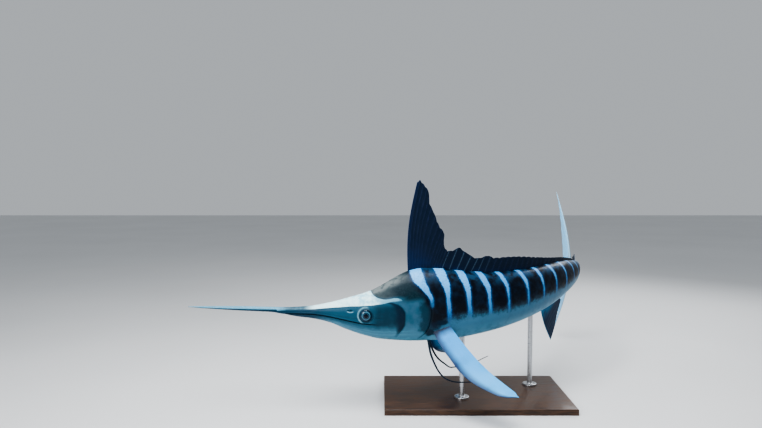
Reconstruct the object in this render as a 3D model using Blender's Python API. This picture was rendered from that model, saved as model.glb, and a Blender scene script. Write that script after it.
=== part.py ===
"""A life-size striped marlin, caught in a turn to its right, on a plain display stand.

Metres, +Z up. The origin is the middle of the base's underside. The head points along -X and
the body bends towards +Y. A place on the fish is given as (s, left, up): s is the distance
along its axis from the tip of the lower jaw, left is towards the fish's left side, and up is
above the axis.
"""

import math

import bmesh
import bpy
import numpy as np
from mathutils import Vector

# Lengths along the body
BILL_TIP = -0.408
BILL_END = 0.10
JAW_TIP = 0.0
MOUTH_CORNER = 0.39
HEAD_END = 0.62
TRUNK_CUTS = (1.02, 1.42, 1.80)
BODY_END = 2.045
TAIL_FORK = 2.125

# Pose: a straight head, then two bends (start, end, radius), and a tail that lifts a little
AXIS_X = -0.82
AXIS_Y = -0.13
AXIS_Z = 0.42
BENDS = ((0.439, 2.00, 1.05), (2.00, 2.10, 0.50))
RISE = 0.070
RISE_FROM = 0.70
RISE_TO = 1.55

# Body outline: (s, height) of the back and of the belly, and (s, half-width)
BACK = (
    (-0.408, 0.0125), (-0.33, 0.0139), (-0.21, 0.0139), (0.0, 0.0103), (0.10, 0.0150),
    (0.192, 0.0310), (0.26, 0.0490), (0.361, 0.0805), (0.419, 0.1110), (0.464, 0.1380),
    (0.521, 0.1640), (0.58, 0.1740), (0.65, 0.1715), (0.735, 0.1600), (0.93, 0.1310),
    (1.14, 0.1090), (1.35, 0.0920), (1.60, 0.0640), (1.80, 0.0410), (1.95, 0.0290),
    (2.05, 0.0260),
)
BILL_UNDERSIDE = (
    (-0.408, 0.0105), (-0.33, 0.0045), (-0.21, -0.0030), (-0.03, -0.0120), (0.02, -0.0165),
)
BELLY = (
    (-0.10, -0.0235), (0.0, -0.0240), (0.065, -0.0310), (0.128, -0.0390), (0.192, -0.0550),
    (0.255, -0.0810), (0.332, -0.1070), (0.404, -0.1230), (0.53, -0.1310), (0.65, -0.1325),
    (0.83, -0.1225), (1.035, -0.1130), (1.24, -0.1000), (1.46, -0.0750), (1.70, -0.0470),
    (1.90, -0.0300), (2.05, -0.0260),
)
HALF_WIDTH = (
    (-0.408, 0.0015), (-0.33, 0.0052), (-0.21, 0.0082), (0.0, 0.0120), (0.10, 0.0215),
    (0.20, 0.0370), (0.30, 0.0530), (0.40, 0.0670), (0.52, 0.0770), (0.65, 0.0800),
    (0.85, 0.0790), (1.05, 0.0700), (1.25, 0.0585), (1.45, 0.0465), (1.65, 0.0345),
    (1.85, 0.0245), (1.97, 0.0200), (2.05, 0.0120),
)
MOUTH_LINE = (
    (-0.10, -0.0165), (0.109, -0.0165), (0.174, -0.0220), (0.248, -0.0355), (0.297, -0.0445),
    (0.335, -0.0505), (0.39, -0.0530),
)
# How square the section is (2 is an ellipse) above and below the widest place
UPPER_FULLNESS = ((-0.1, 2.0), (0.15, 2.0), (0.35, 1.8), (0.50, 1.75), (0.70, 2.0), (2.0, 2.0))
LOWER_FULLNESS = ((-0.1, 2.0), (0.20, 2.0), (0.45, 2.25), (0.80, 2.3), (1.4, 2.1), (2.0, 2.0))
WIDEST = 0.53

# Rings: points over the back from mouth line to mouth line, then points round the belly
RING = 32
ARC = 20
REST_ANGLE = -math.pi * (0.5 - 0.5 * 0.64)
GAP = 0.0003
HALF_GAP = GAP / 2
BLEND = (-0.07, 0.03)

# Lips, and the slant of the joint behind the lower jaw
LIP = 0.0012
JAW_SLANT = 0.35
JAW_FADE = 0.09
JAW_NOSE = 0.05

# Gill covers: (share of the height, s) of the front and rear edges, and ring positions
GILL_FRONT = (
    (0.0, 0.500), (0.12, 0.487), (0.30, 0.497), (0.50, 0.503), (0.70, 0.495), (0.88, 0.468),
    (1.0, 0.478),
)
GILL_REAR = ((0.0, 0.530), (0.12, 0.572), (0.5, 0.612), (0.85, 0.578), (1.0, 0.520))
GILL_LOW = -0.15 * ARC
GILL_HIGH = 0.24 * ARC
GILL_DEPTH = 0.006
GILL_RAISE = 0.0016
RECESS_ROOM = 0.00045

# Eyes
EYE_S = 0.344
EYE_UP = -0.015
EYE_RADIUS = 0.031
EYE_HALF_DEPTH = 0.020
EYE_BULGE = 0.0045
# Nostrils on each side: (s, half-length), then their height on the head, half-height and depth
NOSTRILS = ((0.277, 0.0045), (0.291, 0.0060))
NOSTRIL_UP = 0.004
NOSTRIL_SIZE = (0.0035, 0.004)

# First dorsal fin: (base s, height above the back) and (base s, backward lean) of ray tips
DORSAL_START = 0.519
LOBE_END = 0.660
DORSAL_MIDDLE = 1.15
DORSAL_END = 1.63
RAY_HEIGHT = (
    (0.519, 0.372), (0.527, 0.381), (0.536, 0.367), (0.546, 0.350), (0.556, 0.326),
    (0.568, 0.276), (0.582, 0.225), (0.597, 0.179), (0.612, 0.150), (0.628, 0.112),
    (0.643, 0.084), (0.658, 0.074), (0.680, 0.081), (0.706, 0.093), (0.718, 0.082),
    (0.740, 0.072), (0.757, 0.063), (0.785, 0.053), (0.81, 0.056), (0.845, 0.066),
    (0.88, 0.0575), (0.96, 0.0595), (1.04, 0.0555), (1.15, 0.042), (1.30, 0.024),
    (1.63, 0.006),
)
RAY_LEAN = (
    (0.519, 0.038), (0.527, 0.040), (0.536, 0.043), (0.546, 0.046), (0.556, 0.050),
    (0.568, 0.044), (0.582, 0.052), (0.597, 0.056), (0.612, 0.062), (0.628, 0.046),
    (0.643, 0.037), (0.66, 0.037), (0.70, 0.042), (0.78, 0.040), (0.92, 0.036), (1.63, 0.012),
)
LOBE_BOW = -0.017

# How much shorter than its rays a fin's membrane is
FIN_NOTCH = 0.012

# The other midline fins: (s, up) of the root's front and rear ends on the body's outline, and
# of the free edge from the front tip to the rear; number of rays; rows from root to edge; bow
SMALL_FINS = {
    "dorsal_fin_second": (
        (1.80, 0.041), (1.885, 0.034),
        ((1.845, 0.070), (1.880, 0.061), (1.905, 0.050), (1.960, 0.041)), 6, 4, 0.0,
    ),
    "anal_fin_first": (
        (1.215, -0.102), (1.402, -0.082),
        ((1.311, -0.273), (1.350, -0.222), (1.378, -0.160), (1.420, -0.105)), 8, 5, -0.012,
    ),
    "anal_fin_second": (
        (1.755, -0.042), (1.845, -0.034),
        ((1.800, -0.082), (1.840, -0.068), (1.865, -0.054), (1.925, -0.044)), 6, 4, 0.0,
    ),
}
TAIL_EDGE = ((2.248, 0.400), (2.203, 0.315), (2.167, 0.205), (2.143, 0.100), (TAIL_FORK, 0.0))
TAIL_ROOT_FRONT = (2.012, 0.024)
TAIL_ROOT_REAR = 2.034
TAIL_LOWER = 1.06
TAIL_RAYS = 9
TAIL_ROWS = 8
TAIL_BOW = -0.022

# Half-thicknesses at root and edge, of the membrane and of the rays
DORSAL_HALVES = ((0.0014, 0.0004), (0.0032, 0.0009))
SMALL_HALVES = ((0.0012, 0.0004), (0.0026, 0.0008))
TAIL_HALVES = ((0.0060, 0.0005), (0.0075, 0.0010))

# The first dorsal fin's lengths: (start, end, rays, rows from root to edge, notch)
DORSAL_LENGTHS = {
    "dorsal_fin_lobe": (DORSAL_START, LOBE_END, 12, 8, 0.015),
    "dorsal_fin_middle": (LOBE_END, DORSAL_MIDDLE, 14, 4, 0.080),
    "dorsal_fin_rear": (DORSAL_MIDDLE, DORSAL_END, 12, 3, 0.080),
}

# Keels on each side of the tail's root: (s, up) of the middle, and length, height, depth
KEELS = ((1.990, 0.011), (1.990, -0.011))
KEEL_SIZE = (0.040, 0.0035, 0.0075)

# Pectoral fins: (backward, left, up) at s of the front and rear edges, from root to tip
PECTORAL_AT = 0.65
PECTORAL_FRONT = (
    (-0.044, 0.040, -0.068), (-0.035, 0.066, -0.093), (-0.019, 0.109, -0.135),
    (0.006, 0.151, -0.176), (0.032, 0.194, -0.217), (0.066, 0.236, -0.248),
    (0.108, 0.279, -0.269), (0.161, 0.322, -0.286), (0.214, 0.350, -0.288),
)
PECTORAL_REAR = (
    (0.015, 0.040, -0.031), (0.032, 0.066, -0.060), (0.060, 0.109, -0.108),
    (0.089, 0.151, -0.150), (0.118, 0.194, -0.187), (0.153, 0.236, -0.223),
    (0.186, 0.279, -0.250), (0.210, 0.322, -0.268), (0.222, 0.350, -0.278),
)
PECTORAL_RAYS = 8
PECTORAL_ROWS = 12
PECTORAL_THICK = (0.0045, 0.0007)
PECTORAL_EDGE = 0.35
PECTORAL_RAY = 0.0008

# Pelvic fins: (backward, left, up) at s, from root to tip, and half-sizes at root and tip
PELVIC_AT = 0.62
PELVIC_WIDE = (0.0060, 0.0014)
PELVIC_THICK = (0.0052, 0.0012)
PELVIC_STATIONS = 17
PELVIC_SIDES = 8
PELVIC_PATHS = {
    "pelvic_fin_L": (
        (-0.018, 0.010, -0.118), (-0.015, 0.018, -0.142), (-0.010, 0.026, -0.179),
        (0.000, 0.040, -0.214), (0.018, 0.056, -0.253), (0.043, 0.075, -0.280),
        (0.083, 0.095, -0.291), (0.144, 0.120, -0.286), (0.190, 0.135, -0.274),
    ),
    "pelvic_fin_R": (
        (-0.012, -0.006, -0.118), (-0.002, -0.008, -0.149), (0.013, -0.016, -0.185),
        (0.035, -0.025, -0.219), (0.067, -0.034, -0.248), (0.105, -0.042, -0.270),
        (0.170, -0.048, -0.267), (0.272, -0.052, -0.231),
    ),
}

# How far along a path its direction is taken
PATH_STEP = 0.01

# Stand
BASE_LENGTH = 0.80
BASE_WIDTH = 0.46
BASE_HEIGHT = 0.025
BASE_BEVEL = 0.004
ROD_RADIUS = 0.011
FOOT_RADIUS = 0.032
FOOT_HEIGHT = 0.008
FOOT_BEVEL = 0.003
ROD_SIDES = 24
ROD_PLACES = {"stand_rod_front": 0.76, "stand_rod_rear": 1.14}
BURY = 0.012
SHARP_ANGLE = math.radians(32)

COLOURS = {
    "hide_dark": ((0.010, 0.020, 0.055), 0.35, 0.0),
    "hide_head": ((0.28, 0.40, 0.44), 0.35, 0.0),
    "hide_pale": ((0.55, 0.68, 0.74), 0.35, 0.0),
    "bill_white": ((0.70, 0.80, 0.84), 0.35, 0.0),
    "fin_dark": ((0.012, 0.014, 0.060), 0.40, 0.0),
    "fin_pale": ((0.45, 0.60, 0.75), 0.35, 0.0),
    "eye": ((0.02, 0.03, 0.05), 0.08, 0.0),
    "wood": ((0.10, 0.055, 0.030), 0.45, 0.0),
    "steel": ((0.55, 0.56, 0.58), 0.30, 1.0),
}


def smooth_curve(points):
    """A curve through the points that never overshoots them, as a function of s."""
    x = np.array([p[0] for p in points], float)
    y = np.array([p[1] for p in points], float)
    step = np.diff(x)
    slope = np.diff(y) / step
    tangent = np.zeros(len(x))
    tangent[0] = slope[0]
    tangent[-1] = slope[-1]
    for i in range(1, len(x) - 1):
        if slope[i - 1] * slope[i] > 0:
            before = 2 * step[i] + step[i - 1]
            after = step[i] + 2 * step[i - 1]
            tangent[i] = (before + after) / (before / slope[i - 1] + after / slope[i])

    def value(s):
        s = min(max(s, x[0]), x[-1])
        i = min(int(np.searchsorted(x, s, side="right")) - 1, len(x) - 2)
        t = (s - x[i]) / step[i]
        return float(
            y[i] * (1 + 2 * t) * (1 - t) ** 2
            + tangent[i] * step[i] * t * (1 - t) ** 2
            + y[i + 1] * t * t * (3 - 2 * t)
            + tangent[i + 1] * step[i] * t * t * (t - 1)
        )

    return value


back = smooth_curve(BACK)
belly = smooth_curve(BELLY)
bill_underside = smooth_curve(BILL_UNDERSIDE)
half_width = smooth_curve(HALF_WIDTH)
mouth_line = smooth_curve(MOUTH_LINE)
upper_fullness = smooth_curve(UPPER_FULLNESS)
lower_fullness = smooth_curve(LOWER_FULLNESS)
ray_height = smooth_curve(RAY_HEIGHT)
ray_lean = smooth_curve(RAY_LEAN)
gill_front = smooth_curve(GILL_FRONT)
gill_rear = smooth_curve(GILL_REAR)


def smooth_step(value, start, end):
    """0 before start, 1 after end, with an S-shaped change between."""
    t = min(max((value - start) / (end - start), 0.0), 1.0)
    return t * t * (3 - 2 * t)


def mix(a, b, t):
    """The value that is the share t of the way from a to b."""
    return a + (b - a) * t


def axis(s):
    """The axis's place on the floor plan at s, and the angle by which the body has turned there."""
    x = AXIS_X + min(s, BENDS[0][0])
    y = AXIS_Y
    heading = 0.0
    for start, end, radius in BENDS:
        turned = heading + min(max(s - start, 0.0), end - start) / radius
        x += radius * (math.sin(turned) - math.sin(heading))
        y += radius * (math.cos(heading) - math.cos(turned))
        heading = turned
    past = max(s - BENDS[-1][1], 0.0)
    return x + past * math.cos(heading), y + past * math.sin(heading), heading


def axis_point(s):
    """The point of the axis at s."""
    x, y, _ = axis(s)
    return Vector((x, y, AXIS_Z + RISE * smooth_step(s, RISE_FROM, RISE_TO)))


def directions(s):
    """The directions towards the tail and towards the left side at s."""
    turned = axis(s)[2]
    tailward = Vector((math.cos(turned), math.sin(turned), 0.0))
    leftward = Vector((math.sin(turned), -math.cos(turned), 0.0))
    return tailward, leftward


def place(s, left, up):
    """The point at (s, left, up)."""
    point = axis_point(s) + directions(s)[1] * left
    point.z += up
    return point


def local_place(s, backward, left, up):
    """The point that lies backward, left and up from the axis at s, with no bend."""
    tailward, leftward = directions(s)
    point = axis_point(s) + tailward * backward + leftward * left
    point.z += up
    return point


def section_point(width, top, bottom, upper, lower, angle):
    """A point (left, up) of a section made of two half-superellipses."""
    middle = mix(bottom, top, WIDEST)
    c, d = math.cos(angle), math.sin(angle)
    power = upper if d >= 0 else lower
    reach = top - middle if d >= 0 else middle - bottom
    left = width * math.copysign(abs(c) ** (2 / power), c)
    return left, middle + reach * math.copysign(abs(d) ** (2 / power), d)


def mouth_angle(s):
    """The angle on the section at which the line of the mouth lies, carried on behind it."""
    top, bottom = back(s), belly(s)
    middle = mix(bottom, top, WIDEST)
    share = min(max((middle - mouth_line(s)) / (middle - bottom), 0.02), 0.98)
    angle = -math.asin(share ** (lower_fullness(s) / 2))
    return mix(angle, REST_ANGLE, smooth_step(s, MOUTH_CORNER, MOUTH_CORNER + 0.12))


def ring_angle(s, k):
    """The angle of ring point k at s."""
    low = mouth_angle(s)
    if k <= ARC:
        return low + (math.pi - 2 * low) * k / ARC
    return math.pi - low + (math.pi + 2 * low) * (k - ARC) / (RING - ARC)


def whole_point(s, k, grow=0.0):
    """Ring point k (left, up) of the body with its lower jaw and its lips."""
    top, bottom = back(s) + grow, belly(s) - grow
    left, up = section_point(
        half_width(s) + grow, top, bottom, upper_fullness(s), lower_fullness(s), ring_angle(s, k)
    )
    lip = LIP * smooth_step(s, 0.02, 0.08) * (1 - smooth_step(s, MOUTH_CORNER - 0.03, MOUTH_CORNER))
    if k in (1, ARC - 1, ARC + 1, RING - 1):
        left += math.copysign(lip, left)
    elif k in (0, ARC):
        left -= math.copysign(lip * 0.7, left)
    return left, up


def upper_point(s, k, grow=0.0):
    """Ring point k (left, up) of the bill and the head above the mouth."""
    top, bottom = back(s) + grow, bill_underside(s) - grow
    round_angle = 2 * math.pi * (k / RING) + math.pi * (0.5 - ARC / RING)
    bill = section_point(half_width(s) + grow, top, bottom, 2.0, 2.0, round_angle)
    if k <= ARC:
        head = whole_point(s, k, grow)
    else:
        first = whole_point(s, ARC, grow)
        last = whole_point(s, 0, grow)
        share = (k - ARC) / (RING - ARC)
        head = (mix(first[0], last[0], share), mix(first[1], last[1], share))
    head = (head[0], head[1] + (HALF_GAP - grow if k >= ARC or k == 0 else 0.0))
    share = smooth_step(s, *BLEND)
    return mix(bill[0], head[0], share), mix(bill[1], head[1], share)


def loft(name, rings, slot):
    """A closed body through rings of points, with flat ends."""
    verts = [p for ring in rings for p in ring]
    count = len(rings[0])
    faces = []
    for i in range(len(rings) - 1):
        for k in range(count):
            n = (k + 1) % count
            faces.append((i * count + k, i * count + n, (i + 1) * count + n, (i + 1) * count + k))
    last = (len(rings) - 1) * count
    faces.append(tuple(range(count - 1, -1, -1)))
    faces.append(tuple(last + k for k in range(count)))
    return mesh_object(name, verts, faces, slot)


def material(slot):
    """The material of a slot, made once."""
    made = bpy.data.materials.get(slot)
    if made is None:
        made = bpy.data.materials.new(slot)
        made.use_nodes = True
        colour, roughness, metallic = COLOURS[slot]
        shader = made.node_tree.nodes["Principled BSDF"]
        shader.inputs["Base Color"].default_value = (*colour, 1.0)
        shader.inputs["Roughness"].default_value = roughness
        shader.inputs["Metallic"].default_value = metallic
        made.diffuse_color = (*colour, 1.0)
    return made


def collection(name):
    """The collection of that name, made once."""
    made = bpy.data.collections.get(name)
    if made is None:
        made = bpy.data.collections.new(name)
        bpy.context.scene.collection.children.link(made)
    return made


def mesh_object(name, verts, faces, slot):
    """A mesh object with outward normals. One without a slot is a tool body and isn't shown."""
    mesh = bpy.data.meshes.new(name)
    mesh.from_pydata([tuple(v) for v in verts], [], faces)
    bm = bmesh.new()
    bm.from_mesh(mesh)
    bmesh.ops.recalc_face_normals(bm, faces=bm.faces)
    bm.to_mesh(mesh)
    bm.free()
    made = bpy.data.objects.new(name, mesh)
    if slot:
        collection("striped_marlin").objects.link(made)
        mesh.materials.append(material(slot))
    else:
        collection("cutters").objects.link(made)
        made.hide_render = True
        made.display_type = "WIRE"
    return made


def combine(target, tool, operation):
    """Apply a Boolean of the tool to the target and keep its largest closed surface."""
    modifier = target.modifiers.new("combine", "BOOLEAN")
    modifier.operation = operation
    modifier.solver = "EXACT"
    modifier.object = tool
    graph = bpy.context.evaluated_depsgraph_get()
    mesh = bpy.data.meshes.new_from_object(target.evaluated_get(graph))
    target.modifiers.clear()
    slots = list(target.data.materials)
    target.data = mesh
    mesh.materials.clear()
    for slot in slots:
        mesh.materials.append(slot)
    bm = bmesh.new()
    bm.from_mesh(mesh)
    keep_largest(bm)
    for face in bm.faces:
        face.material_index = 0
    bm.to_mesh(mesh)
    bm.free()


def keep_largest(bm):
    """Delete all but the largest connected surface."""
    unseen = set(bm.verts)
    largest = set()
    while unseen:
        stack = [unseen.pop()]
        part = set(stack)
        while stack:
            for edge in stack.pop().link_edges:
                for vert in edge.verts:
                    if vert in unseen:
                        unseen.discard(vert)
                        part.add(vert)
                        stack.append(vert)
        if len(part) > len(largest):
            largest = part
    bmesh.ops.delete(bm, geom=[v for v in bm.verts if v not in largest], context="VERTS")


def remove(tool):
    """Delete a tool body."""
    bpy.data.objects.remove(tool)


def spaced(start, end, step):
    """Values from start to end, about step apart."""
    count = max(1, round((end - start) / step))
    return [mix(start, end, i / count) for i in range(count + 1)]


BODY_STATIONS = {
    "bill": spaced(BILL_TIP, BILL_END, 0.042),
    "mouth": spaced(BILL_END, MOUTH_CORNER, 0.029),
    "cheek": spaced(MOUTH_CORNER + 0.002, HEAD_END, 0.0285),
    "trunk_front": spaced(HEAD_END, TRUNK_CUTS[0], 0.040),
    "trunk_mid": spaced(TRUNK_CUTS[0], TRUNK_CUTS[1], 0.045),
    "trunk_rear": spaced(TRUNK_CUTS[1], TRUNK_CUTS[2], 0.045),
    "tail_peduncle": spaced(TRUNK_CUTS[2], BODY_END, 0.035),
}


def trimmed(stations, front=True, rear=True):
    """The stations with the ends drawn in by half a gap."""
    out = list(stations)
    if front:
        out[0] += HALF_GAP
    if rear:
        out[-1] -= HALF_GAP
    return out


def ring_of(point, s, grow=0.0):
    """The ring of points at s."""
    return [place(s, *point(s, k, grow)) for k in range(RING)]


def slanted_point(s, k, grow=0.0):
    """Ring point k, set back below the mouth so that the joint behind the jaw leans back."""
    fade = max(1 - abs(s - MOUTH_CORNER) / JAW_FADE, 0.0)
    at = s
    for _ in range(4):
        drop = max(mouth_line(MOUTH_CORNER) - whole_point(at, k, grow)[1], 0.0)
        at = s + JAW_SLANT * fade * drop
    return place(at, *whole_point(at, k, grow))


def slanted_ring(s, grow=0.0):
    """The ring of the whole body at s, leaning back below the mouth near its corner."""
    return [slanted_point(s, k, grow) for k in range(RING)]


def make_bill():
    """The bill, round in front of the lower jaw and flat below where it closes on it."""
    rings = [ring_of(upper_point, s) for s in trimmed(BODY_STATIONS["bill"], front=False)]
    loft("bill", rings, "bill_white")


def make_head():
    """The head, with a flat palate in front of the mouth's corner and a wall behind it."""
    rings = [ring_of(upper_point, s) for s in trimmed(BODY_STATIONS["mouth"], rear=False)]
    rings += [slanted_ring(s) for s in trimmed(BODY_STATIONS["cheek"], front=False)]
    return loft("head", rings, "hide_head")


def make_lower_jaw():
    """The lower jaw, with a rounded tip."""
    stations = spaced(JAW_TIP, MOUTH_CORNER, 0.029)
    stations[-1] -= 2 * GAP
    stations.insert(1, mix(stations[0], stations[1], 0.3))
    flats = 5
    rings = []
    for s in stations:
        reach = min(max((s - JAW_TIP) / JAW_NOSE, 0.0), 1.0)
        taper = mix(0.25, 1.0, math.sqrt(1 - (1 - reach) ** 2))
        level = mouth_line(s) - HALF_GAP
        ring = []
        for k in [*range(ARC, RING), 0]:
            point = slanted_point(s, k)
            middle = axis_point(s)
            point.y = middle.y + (point.y - middle.y) * taper
            point.z = min(middle.z + level, middle.z + level + (point.z - middle.z - level) * taper)
            ring.append(point)
        first, last = ring[0], ring[-1]
        ring += [last.lerp(first, i / flats) for i in range(1, flats)]
        rings.append(ring)
    loft("lower_jaw", rings, "hide_pale")


def make_trunk():
    """The lengths of the body behind the head, with the keels at the tail's root."""
    for name in ("trunk_front", "trunk_mid", "trunk_rear", "tail_peduncle"):
        stations = trimmed(BODY_STATIONS[name], rear=name != "tail_peduncle")
        made = loft(name, [ring_of(whole_point, s) for s in stations], "hide_dark")
    for s, up in KEELS:
        tailward, leftward = directions(s)
        for side in (1, -1):
            centre = place(s, side * side_width(s, up), up)
            axes = (tailward, Vector((0, 0, 1)), leftward)
            keel = ellipsoid("keel", centre, KEEL_SIZE, axes, None, 12, 8)
            combine(made, keel, "UNION")
            remove(keel)


def body_cutter(grow):
    """The whole body, larger all round, to cut what meets it."""
    stations = []
    for name in ("mouth", "cheek", "trunk_front", "trunk_mid", "trunk_rear", "tail_peduncle"):
        stations += [s for s in BODY_STATIONS[name] if not stations or s > stations[-1] + GAP]
    stations[-1] += grow
    return loft("body_cutter", [slanted_ring(s, grow) for s in stations], None)


def sheet(name, columns, rows, surface, slot):
    """A thin closed body: one grid on both faces, split into triangles alike."""
    verts = []
    for side in (1, -1):
        for i in range(columns):
            for j in range(rows):
                centre, normal, half = surface(i, j)
                verts.append(centre + normal * (half * side))
    other = columns * rows
    faces = []
    for i in range(columns - 1):
        for j in range(rows - 1):
            a = i * rows + j
            b, c, d = a + rows, a + rows + 1, a + 1
            faces += [(a, b, c), (a, c, d)]
            faces += [(other + a, other + c, other + b), (other + a, other + d, other + c)]
    faces += rim_faces(columns, rows)
    return mesh_object(name, verts, faces, slot)


def rim_faces(columns, rows):
    """The faces that join the edges of two grids."""
    other = columns * rows
    rim = [i * rows for i in range(columns)]
    rim += [(columns - 1) * rows + j for j in range(1, rows)]
    rim += [i * rows + rows - 1 for i in range(columns - 2, -1, -1)]
    rim += [j for j in range(rows - 2, 0, -1)]
    faces = []
    for a, b in zip(rim, rim[1:] + rim[:1]):
        faces += [(a, other + b, b), (a, other + a, other + b)]
    return faces


def median_fin(name, bases, tips, rows, bow, halves, notch, slot):
    """A fin on the fish's midline. Bases and tips are (s, up) for each column.

    Every other column is a ray, raised above the membrane between and a little longer than it.
    Halves are the half-thicknesses at root and edge, of the membrane and of the rays.
    """
    membrane, ray = halves

    def surface(i, j):
        raised = i % 2 == 0
        v = j / (rows - 1) * (1.0 if raised else 1.0 - notch)
        s = mix(bases[i][0], tips[i][0], v) + bow[i] * math.sin(math.pi * v)
        up = mix(bases[i][1], tips[i][1], v)
        half = mix(*(ray if raised else membrane), v ** 0.7)
        return place(s, 0.0, up), directions(s)[1], half

    return sheet(name, len(bases), rows, surface, slot)


def make_dorsal():
    """The first dorsal fin: a tall lobe and two low lengths."""
    fins = []
    for name, (start, end, rays, rows, notch) in DORSAL_LENGTHS.items():
        first = start + (0 if start == DORSAL_START else HALF_GAP)
        last = end - (0 if end == DORSAL_END else HALF_GAP)
        columns = 2 * rays - 1
        bases, tips, bow = [], [], []
        for i in range(columns):
            s = mix(first, last, i / (columns - 1))
            bases.append((s, back(s) - BURY))
            tips.append((s + ray_lean(s), back(s) + ray_height(s)))
            bow.append(LOBE_BOW * (1 - smooth_step(s, DORSAL_START, LOBE_END)))
        fins.append(median_fin(name, bases, tips, rows, bow, DORSAL_HALVES, notch, "fin_dark"))
    return fins


def fan(bases_from, bases_to, edge, columns):
    """Bases spread evenly between two places and tips spread along an edge curve."""
    bases, tips = [], []
    edge_s = smooth_curve([(i, p[0]) for i, p in enumerate(edge)])
    edge_up = smooth_curve([(i, p[1]) for i, p in enumerate(edge)])
    for i in range(columns):
        t = i / (columns - 1)
        bases.append((mix(bases_from[0], bases_to[0], t), mix(bases_from[1], bases_to[1], t)))
        tips.append((edge_s(t * (len(edge) - 1)), edge_up(t * (len(edge) - 1))))
    return bases, tips


def make_small_fins():
    """The second dorsal fin and the two anal fins."""
    fins = []
    for name, (front, rear, edge, rays, rows, lean) in SMALL_FINS.items():
        columns = 2 * rays - 1
        sunk = [(s, up - math.copysign(BURY, up)) for s, up in (front, rear)]
        bases, tips = fan(*sunk, edge, columns)
        bow = [lean] * columns
        fins.append(median_fin(name, bases, tips, rows, bow, SMALL_HALVES, FIN_NOTCH, "fin_dark"))
    return fins


def make_tail():
    """The two lobes of the tail, which meet on the axis behind the body's end."""
    columns = 2 * TAIL_RAYS - 1
    bow = [mix(TAIL_BOW, 0.0, i / (columns - 1)) for i in range(columns)]
    root_s, root_up = TAIL_ROOT_FRONT
    fins = []
    for name, side, tall in (("tail_fin_upper", 1, 1.0), ("tail_fin_lower", -1, TAIL_LOWER)):
        edge = [(s, side * max(up * tall, HALF_GAP)) for s, up in TAIL_EDGE]
        bases, tips = fan((root_s, side * root_up), (TAIL_ROOT_REAR, side * HALF_GAP), edge, columns)
        fins.append(median_fin(name, bases, tips, TAIL_ROWS, bow, TAIL_HALVES, FIN_NOTCH, "fin_pale"))
    return fins


def pectoral_half(v, c, raised):
    """A pectoral fin's half-thickness at v from root to tip and c from front edge to rear."""
    v = max(v, 0.0)
    full = mix(*PECTORAL_THICK, v ** 0.8)
    rounded = mix(PECTORAL_EDGE, 1.0, math.sin(math.pi * mix(0.12, 0.80, c)))
    return full * rounded + (PECTORAL_RAY if raised else 0.0) * (1 - v ** 2)


def path_curve(path):
    """A smooth path through (backward, left, up) places, from 0 at its start to 1 at its end."""
    curves = [smooth_curve([(i, p[n]) for i, p in enumerate(path)]) for n in range(3)]
    return lambda t: Vector([curve(t * (len(path) - 1)) for curve in curves])


def make_pectorals():
    """The pectoral fins: long blades that sweep back, thickest at the root."""
    columns = 2 * PECTORAL_RAYS - 1
    front_edge, rear_edge = path_curve(PECTORAL_FRONT), path_curve(PECTORAL_REAR)
    fins = []
    for name, side in (("pectoral_fin_L", 1), ("pectoral_fin_R", -1)):
        def surface(i, j):
            raised = i % 2 == 0
            t = (1.0 if raised else 1.0 - FIN_NOTCH) * j / (PECTORAL_ROWS - 1)
            c = i / (columns - 1)
            chord = rear_edge(t) - front_edge(t)
            reach = front_edge(t + PATH_STEP) - front_edge(t - PATH_STEP)
            shape = front_edge(t) + chord * c
            centre = local_place(PECTORAL_AT, shape.x, side * shape.y, shape.z)
            out = shape + reach.cross(chord).normalized()
            over = local_place(PECTORAL_AT, out.x, side * out.y, out.z)
            return centre, over - centre, pectoral_half(t, c, raised)

        fins.append(sheet(name, columns, PECTORAL_ROWS, surface, "fin_pale"))
    return fins


def make_pelvics():
    """The pelvic fins: two long threads that droop from the belly."""
    fins = []
    for name, path in PELVIC_PATHS.items():
        thread = path_curve(path)
        rings = []
        for i in range(PELVIC_STATIONS):
            t = i / (PELVIC_STATIONS - 1)
            before, here, after = [
                local_place(PELVIC_AT, *thread(at)) for at in (t - PATH_STEP, t, t + PATH_STEP)
            ]
            along = (after - before).normalized()
            across = along.cross(Vector((0.0, 1.0, 0.25))).normalized()
            over = along.cross(across)
            wide, thick = mix(*PELVIC_WIDE, t), mix(*PELVIC_THICK, t)
            rings.append([
                here + across * (wide * math.cos(a)) + over * (thick * math.sin(a))
                for a in [2 * math.pi * k / PELVIC_SIDES for k in range(PELVIC_SIDES)]
            ])
        fins.append(loft(name, rings, "fin_dark"))
    return fins


def ellipsoid(name, centre, radii, axes, slot, around=20, along=10):
    """A closed ellipsoid with its poles on the third of its axes."""
    verts = []
    for j in range(1, along):
        b = math.pi * j / along
        for i in range(around):
            a = 2 * math.pi * i / around
            verts.append(
                centre
                + axes[0] * (radii[0] * math.sin(b) * math.cos(a))
                + axes[1] * (radii[1] * math.sin(b) * math.sin(a))
                + axes[2] * (radii[2] * math.cos(b))
            )
    verts += [centre + axes[2] * radii[2], centre - axes[2] * radii[2]]
    top, end = len(verts) - 2, len(verts) - 1
    faces = []
    for i in range(around):
        n = (i + 1) % around
        faces.append((top, i, n))
        last = (along - 2) * around
        faces.append((end, last + n, last + i))
        for j in range(along - 2):
            faces.append((j * around + i, (j + 1) * around + i, (j + 1) * around + n, j * around + n))
    return mesh_object(name, verts, faces, slot)


def side_width(s, up):
    """The half-width of the body at (s, up)."""
    middle = mix(belly(s), back(s), WIDEST)
    power = upper_fullness(s) if up >= middle else lower_fullness(s)
    reach = back(s) - middle if up >= middle else middle - belly(s)
    share = min(abs(up - middle) / reach, 1.0)
    return half_width(s) * (1 - share ** power) ** (1 / power)


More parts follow.
